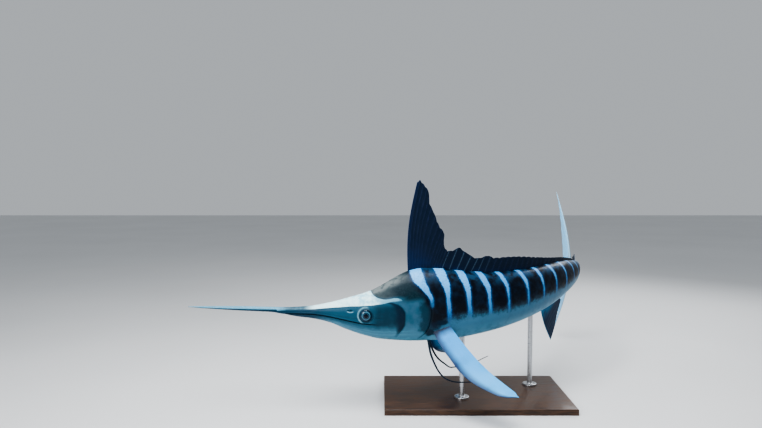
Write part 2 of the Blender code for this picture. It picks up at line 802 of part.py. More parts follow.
def make_eyes(head):
    """The eyes, sunk in sockets with a shallow rim."""
    for name, side in (("eye_L", 1), ("eye_R", -1)):
        tailward, leftward = directions(EYE_S)
        axes = (tailward, Vector((0, 0, 1)), leftward * side)
        skin = side_width(EYE_S, EYE_UP)
        centre = place(EYE_S, side * (skin + EYE_BULGE - EYE_HALF_DEPTH), EYE_UP)
        radii = (EYE_RADIUS, EYE_RADIUS, EYE_HALF_DEPTH)
        ellipsoid(name, centre, radii, axes, "eye")
        socket = ellipsoid("socket", centre, tuple(r + GAP for r in radii), axes, None)
        combine(head, socket, "DIFFERENCE")
        remove(socket)


def make_nostrils(head):
    """Two small pits on each side, in front of the eyes."""
    for side in (1, -1):
        for s, long in NOSTRILS:
            tailward, leftward = directions(s)
            axes = (tailward, Vector((0, 0, 1)), leftward * side)
            centre = place(s, side * side_width(s, NOSTRIL_UP), NOSTRIL_UP)
            pit = ellipsoid("pit", centre, (long, *NOSTRIL_SIZE), axes, None, 10, 6)
            combine(head, pit, "DIFFERENCE")
            remove(pit)


def skin_at(s, index):
    """The skin's point (left, up) at a ring position that need not be whole."""
    low = math.floor(index)
    share = index - low
    a = whole_point(s, low % RING)
    b = whole_point(s, (low + 1) % RING)
    return mix(a[0], b[0], share), mix(a[1], b[1], share)


def make_gill_cover(name, side):
    """A curved plate over the gills, raised a little above the skin."""
    columns, rows = 8, 11

    def surface(i, j):
        v = j / (rows - 1)
        s = mix(gill_front(v), gill_rear(v), i / (columns - 1))
        k = mix(GILL_LOW, GILL_HIGH, v)
        left, up = skin_at(s, k if side > 0 else ARC - k)
        outward = Vector((left, up - mix(belly(s), back(s), WIDEST))).normalized()
        outer = place(s, left + outward.x * GILL_RAISE, up + outward.y * GILL_RAISE)
        inner = place(s, left - outward.x * GILL_DEPTH, up - outward.y * GILL_DEPTH)
        return (outer + inner) / 2, (outer - inner).normalized(), (outer - inner).length / 2

    return sheet(name, columns, rows, surface, "hide_head")


def swollen(piece, amount):
    """A tool body: the piece with every vertex moved outwards."""
    piece.data.update()
    verts = [v.co + v.normal * amount for v in piece.data.vertices]
    return mesh_object("swollen", verts, [tuple(f.vertices) for f in piece.data.polygons], None)


def make_gill_covers(head):
    """The gill covers, in shallow recesses of the head."""
    for name, side in (("gill_cover_L", 1), ("gill_cover_R", -1)):
        recess = swollen(make_gill_cover(name, side), RECESS_ROOM)
        combine(head, recess, "DIFFERENCE")
        remove(recess)


def make_base():
    """The flat base, with bevelled edges above and at its corners."""
    bm = bmesh.new()
    bmesh.ops.create_cube(bm, size=1.0)
    for v in bm.verts:
        v.co = (v.co.x * BASE_LENGTH, v.co.y * BASE_WIDTH, (v.co.z + 0.5) * BASE_HEIGHT)
    edges = [e for e in bm.edges if any(v.co.z > BASE_HEIGHT / 2 for v in e.verts)]
    bmesh.ops.bevel(bm, geom=edges, offset=BASE_BEVEL, segments=2, affect="EDGES")
    base = mesh_object("stand_base", [], [], "wood")
    bm.to_mesh(base.data)
    bm.free()


def make_rods():
    """The two rods that hold the fish, each with a round foot."""
    rods = []
    for name, s in ROD_PLACES.items():
        foot = axis_point(s)
        bottom = BASE_HEIGHT + GAP
        shoulder = bottom + FOOT_HEIGHT
        profile = (
            (FOOT_RADIUS, bottom), (FOOT_RADIUS, shoulder - FOOT_BEVEL),
            (FOOT_RADIUS - FOOT_BEVEL, shoulder), (ROD_RADIUS, shoulder),
            (ROD_RADIUS, foot.z + belly(s) + 2 * BURY),
        )
        angles = [2 * math.pi * k / ROD_SIDES for k in range(ROD_SIDES)]
        rings = [
            [Vector((foot.x + r * math.cos(a), foot.y + r * math.sin(a), z)) for a in angles]
            for r, z in profile
        ]
        rods.append(loft(name, rings, "steel"))
    return rods


def cut_by_body(pieces):
    """Cut fins and rods to the body's surface, a gap away from it."""
    body = body_cutter(GAP)
    for piece in pieces:
        combine(piece, body, "DIFFERENCE")
    remove(body)


def shade():
    """Shade the rounded pieces smooth, with sharp edges where faces meet at an angle."""
    for piece in collection("striped_marlin").objects:
        for face in piece.data.polygons:
            face.use_smooth = True
        piece.data.set_sharp_from_angle(angle=SHARP_ANGLE)


def main():
    """Build every piece."""
    for old in list(bpy.data.objects):
        bpy.data.objects.remove(old)
    make_bill()
    head = make_head()
    make_lower_jaw()
    make_trunk()
    make_gill_covers(head)
    make_eyes(head)
    make_nostrils(head)
    fins = make_dorsal() + make_small_fins() + make_tail() + make_pectorals() + make_pelvics()
    cut_by_body(fins + make_rods())
    make_base()
    shade()


main()
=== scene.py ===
"""The looks of a life-size striped marlin model on its display stand."""

import math

import bmesh
import bpy
import numpy as np
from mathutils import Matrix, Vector


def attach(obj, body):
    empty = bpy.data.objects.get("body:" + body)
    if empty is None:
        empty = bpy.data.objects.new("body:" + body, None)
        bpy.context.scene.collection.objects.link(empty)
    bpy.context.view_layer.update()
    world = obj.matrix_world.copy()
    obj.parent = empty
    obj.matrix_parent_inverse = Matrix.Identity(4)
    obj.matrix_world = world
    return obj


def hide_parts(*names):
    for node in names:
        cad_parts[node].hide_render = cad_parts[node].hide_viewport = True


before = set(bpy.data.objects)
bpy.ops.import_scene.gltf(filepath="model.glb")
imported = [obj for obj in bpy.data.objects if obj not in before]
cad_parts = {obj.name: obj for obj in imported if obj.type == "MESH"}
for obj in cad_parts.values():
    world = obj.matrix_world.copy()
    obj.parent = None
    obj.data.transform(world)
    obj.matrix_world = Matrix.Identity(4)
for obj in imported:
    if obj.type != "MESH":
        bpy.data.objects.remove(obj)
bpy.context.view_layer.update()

# Lengths along the body, from the tip of the lower jaw
BILL_TIP = -0.408
JAW_TIP = 0.0
MOUTH_CORNER = 0.39
BODY_END = 2.045
TAIL_FORK = 2.125

# Pose: the place of the jaw's tip, and how the axis bends and rises from there
AXIS_X = -0.82
AXIS_Y = -0.13
AXIS_Z = 0.42
# Bends to the fish's right: (s where it starts, s where it ends, radius)
BENDS = ((0.439, 2.0, 1.05), (2.0, 2.1, 0.5))
RISE = 0.07
RISE_FROM = 0.7
RISE_TO = 1.55

# The highest line of the bill and body: (s, height)
BACK = (
    (-0.408, 0.0125), (-0.33, 0.0139), (-0.21, 0.0139), (0.0, 0.0103), (0.1, 0.015),
    (0.192, 0.031), (0.26, 0.049), (0.361, 0.0805), (0.419, 0.111), (0.464, 0.138),
    (0.521, 0.164), (0.58, 0.174), (0.65, 0.1715), (0.735, 0.16), (0.93, 0.131),
    (1.14, 0.109), (1.35, 0.092), (1.6, 0.064), (1.8, 0.041), (1.95, 0.029),
    (2.05, 0.026),
)
# The underside of the bill, ahead of the lower jaw: (s, height)
BILL_UNDERSIDE = (
    (-0.408, 0.0105), (-0.33, 0.0045), (-0.21, -0.003), (-0.03, -0.012), (0.02, -0.0165),
)
# The lowest line of the lower jaw and body: (s, height)
BELLY = (
    (-0.1, -0.0235), (0.0, -0.024), (0.065, -0.031), (0.128, -0.039), (0.192, -0.055),
    (0.255, -0.081), (0.332, -0.107), (0.404, -0.123), (0.53, -0.131), (0.65, -0.1325),
    (0.83, -0.1225), (1.035, -0.113), (1.24, -0.1), (1.46, -0.075), (1.7, -0.047),
    (1.9, -0.03), (2.05, -0.026),
)
# (s, half-width)
HALF_WIDTH = (
    (-0.408, 0.0015), (-0.33, 0.0052), (-0.21, 0.0082), (0.0, 0.012), (0.1, 0.0215),
    (0.2, 0.037), (0.3, 0.053), (0.4, 0.067), (0.52, 0.077), (0.65, 0.08),
    (0.85, 0.079), (1.05, 0.07), (1.25, 0.0585), (1.45, 0.0465), (1.65, 0.0345),
    (1.85, 0.0245), (1.97, 0.02), (2.05, 0.012),
)
# The line between the jaws, carried on to the mouth's corner: (s, height)
MOUTH_LINE = (
    (-0.1, -0.0165), (0.109, -0.0165), (0.174, -0.022), (0.248, -0.0355), (0.297, -0.0445),
    (0.335, -0.0505), (0.39, -0.053),
)
# Powers of the section's upper and lower curve, where 2 is an ellipse: (s, power)
UPPER_FULLNESS = ((-0.1, 2.0), (0.15, 2.0), (0.35, 1.8), (0.5, 1.75), (0.7, 2.0), (2.0, 2.0))
LOWER_FULLNESS = ((-0.1, 2.0), (0.2, 2.0), (0.45, 2.25), (0.8, 2.3), (1.4, 2.1), (2.0, 2.0))
# The share of the body's height at which it is widest
WIDEST = 0.53

# Camera, in picture points of a frame 762 wide and 428 high
FRAME_WIDTH = 762
FOCAL_POINTS = 646.0
SENSOR = 36.0
CAMERA_PLACE = (-0.4142, -2.83, 0.9745)
# Degrees below the level
CAMERA_PITCH = 3.2


def smooth_curve(points):
    """A curve through the points that never overshoots them, for one number or an array."""
    x = np.array([p[0] for p in points], float)
    y = np.array([p[1] for p in points], float)
    step = np.diff(x)
    slope = np.diff(y) / step
    tangent = np.zeros(len(x))
    tangent[0] = slope[0]
    tangent[-1] = slope[-1]
    for i in range(1, len(x) - 1):
        if slope[i - 1] * slope[i] > 0:
            before = 2 * step[i] + step[i - 1]
            after = step[i] + 2 * step[i - 1]
            tangent[i] = (before + after) / (before / slope[i - 1] + after / slope[i])

    def value(s):
        s = np.clip(s, x[0], x[-1])
        i = np.clip(np.searchsorted(x, s, side="right") - 1, 0, len(x) - 2)
        t = (s - x[i]) / step[i]
        return (
            y[i] * (1 + 2 * t) * (1 - t) ** 2
            + tangent[i] * step[i] * t * (1 - t) ** 2
            + y[i + 1] * t * t * (3 - 2 * t)
            + tangent[i + 1] * step[i] * t * t * (t - 1)
        )

    return value


back = smooth_curve(BACK)
belly = smooth_curve(BELLY)
bill_underside = smooth_curve(BILL_UNDERSIDE)
half_width = smooth_curve(HALF_WIDTH)
mouth_line = smooth_curve(MOUTH_LINE)
upper_fullness = smooth_curve(UPPER_FULLNESS)
lower_fullness = smooth_curve(LOWER_FULLNESS)


def mix(a, b, t):
    """The value that is the share t of the way from a to b."""
    return a + (b - a) * t


def smooth_step(value, start, end):
    """0 before start, 1 after end, with an S-shaped change between."""
    t = np.clip((value - start) / (end - start), 0.0, 1.0)
    return t * t * (3 - 2 * t)


def window(value, start, full, wane, end):
    """A rise from 0 to 1 between start and full, and a fall back to 0 between wane and end."""
    return smooth_step(value, start, full) * (1 - smooth_step(value, wane, end))


def bell(value, centre, reach):
    """1 at the centre, falling to nothing a few reaches away."""
    return np.exp(-(((value - centre) / reach) ** 2))


def spine(s):
    """The axis's point, the direction towards the tail and the one to the left, at s."""
    s = np.asarray(s, float)
    x = AXIS_X + np.minimum(s, BENDS[0][0])
    y = np.full_like(s, AXIS_Y)
    heading = np.zeros_like(s)
    for start, end, radius in BENDS:
        turned = heading + np.clip(s - start, 0, end - start) / radius
        x = x + radius * (np.sin(turned) - np.sin(heading))
        y = y + radius * (np.cos(heading) - np.cos(turned))
        heading = turned
    past = np.maximum(s - BENDS[-1][1], 0.0)
    x = x + past * np.cos(heading)
    y = y + past * np.sin(heading)
    z = AXIS_Z + RISE * smooth_step(s, RISE_FROM, RISE_TO)
    none = np.zeros_like(heading)
    tailward = np.stack([np.cos(heading), np.sin(heading), none], -1)
    leftward = np.stack([np.sin(heading), -np.cos(heading), none], -1)
    return np.stack([x, y, z], -1), tailward, leftward


def place(s, left, up, backward=0.0):
    """Points left of the axis at s, up from it, and backward along its direction there."""
    point, tailward, leftward = spine(s)
    point = point + leftward * np.asarray(left)[..., None] + tailward * np.asarray(backward)[..., None]
    point[..., 2] += up
    return point


def section_point(width, top, bottom, upper, lower, angle):
    """Points (left, up) of a section made of two half-superellipses."""
    middle = mix(bottom, top, WIDEST)
    c, d = np.cos(angle), np.sin(angle)
    power = np.where(d >= 0, upper, lower)
    reach = np.where(d >= 0, top - middle, middle - bottom)
    left = width * np.sign(c) * np.abs(c) ** (2 / power)
    return left, middle + reach * np.sign(d) * np.abs(d) ** (2 / power)


# The angle of the mouth's line on the sections behind the mouth
REST_ANGLE = -0.18 * math.pi


def mouth_angle(s):
    """The angle on the section at which the line of the mouth lies, carried on behind it."""
    top, bottom = back(s), belly(s)
    middle = mix(bottom, top, WIDEST)
    share = np.clip((middle - mouth_line(s)) / (middle - bottom), 0.02, 0.98)
    angle = -np.arcsin(share ** (lower_fullness(s) / 2))
    return mix(angle, REST_ANGLE, smooth_step(s, MOUTH_CORNER, MOUTH_CORNER + 0.12))


def spaced(start, end, step):
    """Values from start up to but not including end, about step apart."""
    count = max(1, round((end - start) / step))
    return list(np.linspace(start, end, count, endpoint=False))


# Meshes and materials

def add_object(name, data):
    """A new object in the scene."""
    made = bpy.data.objects.new(name, data)
    bpy.context.scene.collection.objects.link(made)
    return made


def mesh_object(name, verts, faces):
    """A smooth mesh object in the scene, with outward normals."""
    mesh = bpy.data.meshes.new(name)
    mesh.from_pydata([tuple(map(float, v)) for v in verts], [], [tuple(map(int, f)) for f in faces])
    bm = bmesh.new()
    bm.from_mesh(mesh)
    bmesh.ops.recalc_face_normals(bm, faces=bm.faces)
    bm.to_mesh(mesh)
    bm.free()
    mesh.polygons.foreach_set("use_smooth", [True] * len(mesh.polygons))
    return add_object(name, mesh)


def give(piece, name, values):
    """Store one number for each vertex of a piece."""
    made = piece.data.attributes.new(name, "FLOAT", "POINT")
    made.data.foreach_set("value", np.asarray(values, np.float32).ravel())


def grid_faces(columns, rows, closed=False):
    """The faces of a grid whose vertices run along its rows."""
    i, j = np.meshgrid(np.arange(columns - 1), np.arange(rows if closed else rows - 1), indexing="ij")
    a = i * rows + j
    b = i * rows + (j + 1) % rows
    return np.stack([a, b, b + rows, a + rows], -1).reshape(-1, 4)


def tube_faces(rings, around):
    """The faces of a tube of rings with a flat face at each end."""
    last = (rings - 1) * around
    return [*grid_faces(rings, around, closed=True), range(around), range(last + around - 1, last - 1, -1)]


def pointed_faces(rings, around):
    """The faces of a tube whose ends meet in two more vertices, which follow the rings."""
    first_point = rings * around
    last = first_point - around
    faces = [*grid_faces(rings, around, closed=True)]
    faces += [(first_point, (k + 1) % around, k) for k in range(around)]
    faces += [(first_point + 1, last + k, last + (k + 1) % around) for k in range(around)]
    return faces


def full_turn(count):
    """Angles spread evenly round a circle."""
    return np.linspace(0, 2 * math.pi, count, endpoint=False)


class Shader:
    """A material's node tree, built by short calls."""

    def __init__(self, name, metallic=0.0, coat=0.0, coat_roughness=0.12, gloss=0.2):
        self.material = bpy.data.materials.new(name)
        self.material.use_nodes = True
        self.nodes = self.material.node_tree.nodes
        self.links = self.material.node_tree.links
        self.surface = self.nodes["Principled BSDF"]
        for socket, value in (
            ("Metallic", metallic), ("Specular IOR Level", gloss), ("Coat Weight", coat),
            ("Coat Roughness", coat_roughness),
        ):
            self.surface.inputs[socket].default_value = value

    def put(self, socket, value):
        """Link an output to a socket, or set the socket's number or colour."""
        if isinstance(value, bpy.types.NodeSocket):
            self.links.new(value, socket)
        elif isinstance(value, tuple):
            socket.default_value = (*value, 1.0)
        else:
            socket.default_value = value

    def attribute(self, name):
        """A number stored on the mesh."""
        node = self.nodes.new("ShaderNodeAttribute")
        node.attribute_name = name
        return node.outputs["Fac"]

    def math(self, operation, *values):
        """One sum."""
        node = self.nodes.new("ShaderNodeMath")
        node.operation = operation
        for socket, value in zip(node.inputs, values):
            self.put(socket, value)
        return node.outputs[0]

    def plus(self, a, b, share=1.0):
        """A number plus a share of another."""
        return self.math("MULTIPLY_ADD", b, share, a)

    def times(self, a, *others):
        """Numbers multiplied."""
        for b in others:
            a = self.math("MULTIPLY", a, b)
        return a

    def from_middle(self, value):
        """How far a value is from halfway between two whole numbers."""
        return self.math("ABSOLUTE", self.plus(self.math("FRACT", value), -0.5))

    def window(self, value, start, full, wane, end):
        """A rise from 0 to 1 and a fall back to 0."""
        return self.times(self.ramp(value, start, full), self.ramp(value, end, wane))

    def ramp(self, value, start, end, low=0.0, high=1.0):
        """An S-shaped change from low to high as the value goes from start to end."""
        node = self.nodes.new("ShaderNodeMapRange")
        node.interpolation_type = "SMOOTHSTEP"
        self.put(node.inputs["Value"], value)
        for name, number in (("From Min", start), ("From Max", end), ("To Min", low), ("To Max", high)):
            self.put(node.inputs[name], number)
        return node.outputs["Result"]

    def between(self, share, a, b, kind="FLOAT"):
        """A mix of two numbers, or of two colours."""
        node = self.nodes.new("ShaderNodeMix")
        node.data_type = kind
        for name, value in (("Factor", share), ("A", a), ("B", b)):
            self.put(node.inputs[name], value)
        return node.outputs["Result"]

    def paint(self, colour, *layers):
        """A colour with others laid over it in turn: (share, colour)."""
        for share, over in layers:
            colour = self.between(share, colour, over, "RGBA")
        return colour

    def noise(self, scale, detail=3.0, stretch=(1.0, 1.0, 1.0), where=None):
        """Noise over the piece, about 0.5 on average."""
        if where is None:
            where = self.nodes.new("ShaderNodeTexCoord").outputs["Object"]
        turn = self.nodes.new("ShaderNodeMapping")
        self.links.new(where, turn.inputs["Vector"])
        turn.inputs["Scale"].default_value = stretch
        node = self.nodes.new("ShaderNodeTexNoise")
        self.links.new(turn.outputs["Vector"], node.inputs["Vector"])
        node.inputs["Scale"].default_value = scale
        node.inputs["Detail"].default_value = detail
        return node.outputs["Fac"]

    def along(self, *names):
        """A place made of up to three numbers stored on the mesh."""
        node = self.nodes.new("ShaderNodeCombineXYZ")
        for socket, name in zip(node.inputs, names):
            self.links.new(self.attribute(name), socket)
        return node.outputs[0]

    def finish(self, colour, roughness, *reliefs):
        """The material with its colour, its roughness and its reliefs: (height, strength, distance)."""
        self.put(self.surface.inputs["Base Color"], colour)
        self.put(self.surface.inputs["Roughness"], roughness)
        normal = self.surface.inputs["Normal"]
        for height, strength, distance in reliefs:
            node = self.nodes.new("ShaderNodeBump")
            for name, value in (("Height", height), ("Strength", strength), ("Distance", distance)):
                self.put(node.inputs[name], value)
            if normal.is_linked:
                self.links.new(normal.links[0].from_socket, node.inputs["Normal"])
            self.links.new(node.outputs["Normal"], normal)
        return self.material


def dress(piece, material, slot, *nodes):
    """Give a piece its material, its place in the object and the nodes that it stands for."""
    piece.data.materials.clear()
    piece.data.materials.append(material)
    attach(piece, "root")
    if nodes:
        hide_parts(*nodes)


# The skin

EYE_S = 0.344
EYE_UP = -0.015
EYE_RADIUS = 0.031
EYE_HALF_DEPTH = 0.02
EYE_BULGE = 0.0045
SOCKET_RADIUS = 0.0225
DORSAL_START = 0.519
DORSAL_END = 1.63

# The nostrils of each side: (s, half-height, half-length, depth)
NOSTRILS = ((0.27, 0.0022, 0.0026, 0.0036), (0.281, 0.0024, 0.005, 0.0045))
NOSTRIL_UP = 0.004
NOSTRIL_SLANT = 0.25

# The rear edges of the cheek's plate and of the gill cover: (up, s)
GILL_FRONT = (
    (-0.115, 0.458), (-0.08, 0.483), (-0.049, 0.497), (-0.005, 0.498), (0.015, 0.49), (0.032, 0.474),
    (0.041, 0.45), (0.05, 0.42),
)
GILL_REAR = (
    (-0.135, 0.52), (-0.11, 0.56), (-0.07, 0.59), (0.0, 0.602), (0.05, 0.59), (0.09, 0.56),
    (0.12, 0.525),
)
# How each edge stands out: its curve, where it shows (up), its step and the step's height, then
# the depth of the groove behind it, and the groove's place and reach
GILL_EDGES = (
    (
        GILL_FRONT, (-0.118, -0.095, 0.01, 0.05), (-0.04, -0.004, -0.004, 0.003), 0.0014,
        0.0012, (0.005, 0.004),
    ),
    (
        GILL_REAR, (-0.133, -0.115, 0.055, 0.105), (-0.05, -0.004, -0.003, 0.0025), 0.0022,
        0.0026, (0.004, 0.0034),
    ),
)

# The pale bars: (s at mid-height, full width, lean at the back)
BARS = (
    (0.606, 0.018, 0.06), (0.67, 0.022, 0.02), (0.757, 0.02, 0.018), (0.848, 0.018, 0.018),
    (0.94, 0.015, 0.014), (1.051, 0.013, 0.011), (1.155, 0.012, 0.009), (1.26, 0.011, 0.009),
    (1.367, 0.01, 0.008), (1.48, 0.009, 0.008), (1.59, 0.009, 0.008), (1.69, 0.008, 0.007),
    (1.78, 0.008, 0.006), (1.86, 0.007, 0.005), (1.93, 0.006, 0.004),
)
# How much of its lean a bar has at each share of the body's height: the first bar, and the rest
FIRST_LEAN = ((0.0, -0.05), (0.58, 0.0), (0.74, 0.42), (0.88, 0.86), (1.0, 1.0))
BAR_LEAN = ((0.0, -0.55), (0.3, -0.3), (0.55, 0.0), (0.8, 0.25), (0.9, 0.72), (1.0, 1.0))
# The first bar narrows downwards more than the others do
FIRST_WIDE = 0.028
# The share of the height at which the dark back ends: (s, share)
BELLY_EDGE = (
    (0.5, 0.2), (0.575, 0.14), (0.62, 0.15), (0.655, 0.26), (0.7, 0.32), (0.74, 0.34),
    (0.88, 0.36), (1.01, 0.37), (1.16, 0.4), (1.34, 0.37), (1.53, 0.38), (1.8, 0.3), (2.05, 0.22),
)
# The share of the height between which the bill, forehead and streak are white: (s, share)
WHITE_LOW = (
    (-0.4, 0.35), (-0.2, 0.42), (0.0, 0.66), (0.1, 0.78), (0.2, 0.79), (0.28, 0.77),
    (0.32, 0.75), (0.36, 0.73), (0.42, 0.685), (0.45, 0.67), (0.5, 0.61),
)
WHITE_HIGH = (
    (-0.4, 1.6), (0.33, 1.45), (0.355, 1.08), (0.375, 0.9), (0.4, 0.8), (0.43, 0.735),
    (0.47, 0.7), (0.5, 0.65),
)

# Painted shadows at the root of the pectoral fin: (s, up, half-length, half-height)
PECTORAL_ROOT_SHADOWS = ((0.6, -0.088, 0.024, 0.02), (0.645, -0.046, 0.03, 0.013))

# Points of a half-ring below the mouth line and above it
RING_LOW = 34
RING_HIGH = 110
# Stretches of the skin: (start, distance between rings)
RING_STEPS = (
    (BILL_TIP, 0.006), (-0.03, 0.0015), (0.06, 0.003), (0.25, 0.0012), (0.45, 0.0016), (0.62, 0.006),
    (1.9, 0.003),
)


def ring_angles(s):
    """The angles of the left half-ring's points from belly to back, closest by the mouth."""
    low = mouth_angle(s)[:, None]
    u = np.linspace(0, 1, RING_LOW, endpoint=False)[None, :]
    below = -math.pi / 2 + (low + math.pi / 2) * (1 - (1 - u) ** 1.5)
    t = np.linspace(0, 1, RING_HIGH)[None, :]
    above = low + (math.pi / 2 - low) * mix(t, t ** 2, 0.6)
    return np.concatenate([below, above], 1)


def jaw_taper(s):
    """How much of the lower jaw's section there is, near its tip."""
    reach = np.clip((s - JAW_TIP) / 0.05, 0.0, 1.0)
    return np.sqrt(1 - (1 - reach) ** 2)


def half_ring(s):
    """The left half of the skin's sections, (left, up), before its relief."""
    angle = ring_angles(s)
    col = s[:, None]
    whole = np.stack(section_point(
        half_width(col), back(col), belly(col), upper_fullness(col), lower_fullness(col), angle
    ))
    share = np.linspace(0, 1, RING_LOW, endpoint=False)
    level = whole[:, :, RING_LOW:RING_LOW + 1]
    flat = level * np.stack([np.sin(share * math.pi / 2), np.ones(RING_LOW)])[:, None]
    whole[:, :, :RING_LOW] = mix(flat, whole[:, :, :RING_LOW], jaw_taper(col))
    bill = np.stack(section_point(half_width(col), back(col), bill_underside(col), 2.0, 2.0, angle))
    return mix(bill, whole, smooth_step(col, -0.06, 0.0))


def side_width(s, up):
    """The half-width of the body at (s, up)."""
    middle = mix(belly(s), back(s), WIDEST)
    power = upper_fullness(s) if up >= middle else lower_fullness(s)
    reach = back(s) - middle if up >= middle else middle - belly(s)
    share = min(abs(up - middle) / reach, 1.0)
    return half_width(s) * (1 - share ** power) ** (1 / power)


def from_eye(s, up):
    """The distance from the eye's centre and the direction from it."""
    return np.hypot(s - EYE_S, up - EYE_UP), np.arctan2(up - EYE_UP, s - EYE_S)


def mouth_relief(s, arc):
    """The slit of the mouth between two lips, the fold above it and the dent behind it."""
    slit, lip, fold, dent = 0.006, 0.0011, 0.0008, 0.0012
    shown = window(s, 0.004, 0.03, MOUTH_CORNER - 0.03, MOUTH_CORNER + 0.006)
    height = -slit * shown * bell(arc, 0.0, 0.0013)
    height += lip * shown * (bell(arc, 0.005, 0.003) + bell(arc, -0.005, 0.003))
    height -= fold * window(s, 0.2, 0.26, 0.4, 0.43) * bell(arc, 0.013 + 0.1 * (s - 0.25), 0.0016)
    return height - dent * window(s, 0.36, 0.39, 0.4, 0.435) * bell(arc, -0.002, 0.0025)


def eye_relief(s, up):
    """The eye's socket, its rim, a groove round it and a low ridge in front."""
    socket, rim, groove, ridge = 0.016, 0.0009, 0.001, 0.0012
    eye, angle = from_eye(s, up)
    height = rim * bell(eye, SOCKET_RADIUS + 0.0035, 0.0024)
    height -= socket * (1 - smooth_step(eye, SOCKET_RADIUS - 0.003, SOCKET_RADIUS + 0.0012))
    height -= groove * bell(eye, SOCKET_RADIUS + 0.0085, 0.0026)
    ahead = smooth_step(-np.cos(angle - 2.6), 1, -1)
    return height + ridge * bell(eye, SOCKET_RADIUS + 0.013, 0.003) * ahead


def nostril_relief(s, up):
    """Pits with raised rims."""
    rim = 0.0009
    height = 0.0
    for where, tall, long, deep in NOSTRILS:
        pit = np.hypot((s - where) / long, (up - NOSTRIL_UP + NOSTRIL_SLANT * (s - where)) / tall)
        height = height - deep * bell(pit, 0.0, 1.0) + rim * bell(pit, 1.9, 0.5)
    return height


def gill_relief(s, up):
    """The raised rear edges of the cheek's plate and the gill cover, with grooves behind them."""
    height = 0.0
    for curve, shown, step, ridge, depth, groove in GILL_EDGES:
        past = s - smooth_curve(curve)(up)
        edge = ridge * window(past, *step) - depth * bell(past, *groove)
        height = height + window(up, *shown) * edge
    return height


def throat_relief(s, up):
    """The fold along the throat."""
    fold = 0.0012
    line = -0.1 - 0.028 * smooth_step(s, 0.33, 0.55)
    across = window(up, line - 0.006, line, line, line + 0.02) - bell(up, line - 0.003, 0.0016)
    return fold * window(s, 0.3, 0.34, 0.56, 0.59) * across


def body_relief(s, left, up):
    """Two keels on each side of the tail's root, and the swelling along the dorsal fin's base."""
    keel, keel_up, base = 0.007, 0.0105, 0.0012
    pair = bell(up, keel_up, 0.0024) + bell(up, -keel_up, 0.0024)
    height = keel * window(s, 1.905, 1.965, 2.02, 2.044) * pair
    shown = window(s, DORSAL_START - 0.01, DORSAL_START + 0.02, DORSAL_END - 0.1, DORSAL_END)
    return height + base * shown * bell(left, 0.0, 0.006) * (up > 0)


def relief(s, left, up, arc):
    """How far the skin stands out from its plain section, in metres."""
    head = mouth_relief(s, arc) + eye_relief(s, up) + nostril_relief(s, up)
    return head + gill_relief(s, up) + throat_relief(s, up) + body_relief(s, left, up)


def outward(flat, s):
    """The normals of the left half of the skin, in its unbent form."""
    across = np.gradient(flat, axis=1)
    lengthways = np.gradient(flat, axis=0) / np.gradient(s)[:, None, None]
    normal = np.cross(across, lengthways)
    normal[:, 0] = (0, 0, -1)
    normal[:, -1] = (0, 0, 1)
    normal /= np.maximum(np.linalg.norm(normal, axis=-1, keepdims=True), 1e-9)
    lean_out = normal[..., 1:2] + 0.001 * normal[..., 2:3] * np.sign(flat[..., 2:3])
    return normal * np.where(lean_out < 0, -1, 1)


def both_sides(values, sign=1):
    """A half-ring's numbers carried on round the right side."""
    return np.concatenate([values, sign * values[:, -2:0:-1]], 1)


def make_skin():
    """One skin from the bill's tip to the tail's root."""
    starts = [start for start, _ in RING_STEPS] + [BODY_END]
    steps = [step for _, step in RING_STEPS]
    s = np.array(sum(map(spaced, starts, starts[1:], steps), []) + [BODY_END])
    left, up = half_ring(s)
    col = np.repeat(s[:, None], left.shape[1], 1)
    reach = np.hypot(np.diff(left, axis=1), np.diff(up, axis=1))
    arc = np.concatenate([np.zeros((len(s), 1)), np.cumsum(reach, 1)], 1)
    arc = arc - arc[:, RING_LOW:RING_LOW + 1]
    high = relief(col, left, up, arc)
    flat = np.stack([col, left, up], -1)
    moved = flat + outward(flat, s) * high[..., None]
    moved[:, 0, 1] = 0
    moved[:, -1, 1] = 0
    points = place(both_sides(moved[..., 0]), both_sides(moved[..., 1], -1), both_sides(moved[..., 2]))
    verts = np.concatenate([points.reshape(-1, 3), [points[0].mean(0)], [points[-1].mean(0)]])
    skin = mesh_object("skin", verts, pointed_faces(*points.shape[:2]))

    share = (up - belly(col)) / (back(col) - belly(col))
    share = np.where(col < -0.03, (up - bill_underside(col)) / (back(col) - bill_underside(col)), share)
    bars, first_bar = bar_masks(col, share)
    masks = bars | white_masks(col, share) | gill_masks(col, up, share, first_bar) | small_masks(col, up, arc)
    # Painted shade: darker where the skin's relief is sunk, as in the socket, grooves, pits and the mouth's
    # slit
    masks["hollow_shade"] = np.clip(-high / 0.003, 0, 1)
    for name, values in masks.items():
        full = both_sides(values).ravel()
        give(skin, name, np.concatenate([full, [full[0]], [full[-1]]]))
    dress(
        skin, skin_material(), "hide_dark", "bill", "head", "lower_jaw", "gill_cover_L", "gill_cover_R",
        "trunk_front", "trunk_mid", "trunk_rear", "tail_peduncle",
    )
    return skin


# Numbers on the skin that say where each colour lies, mostly from 0 to 1

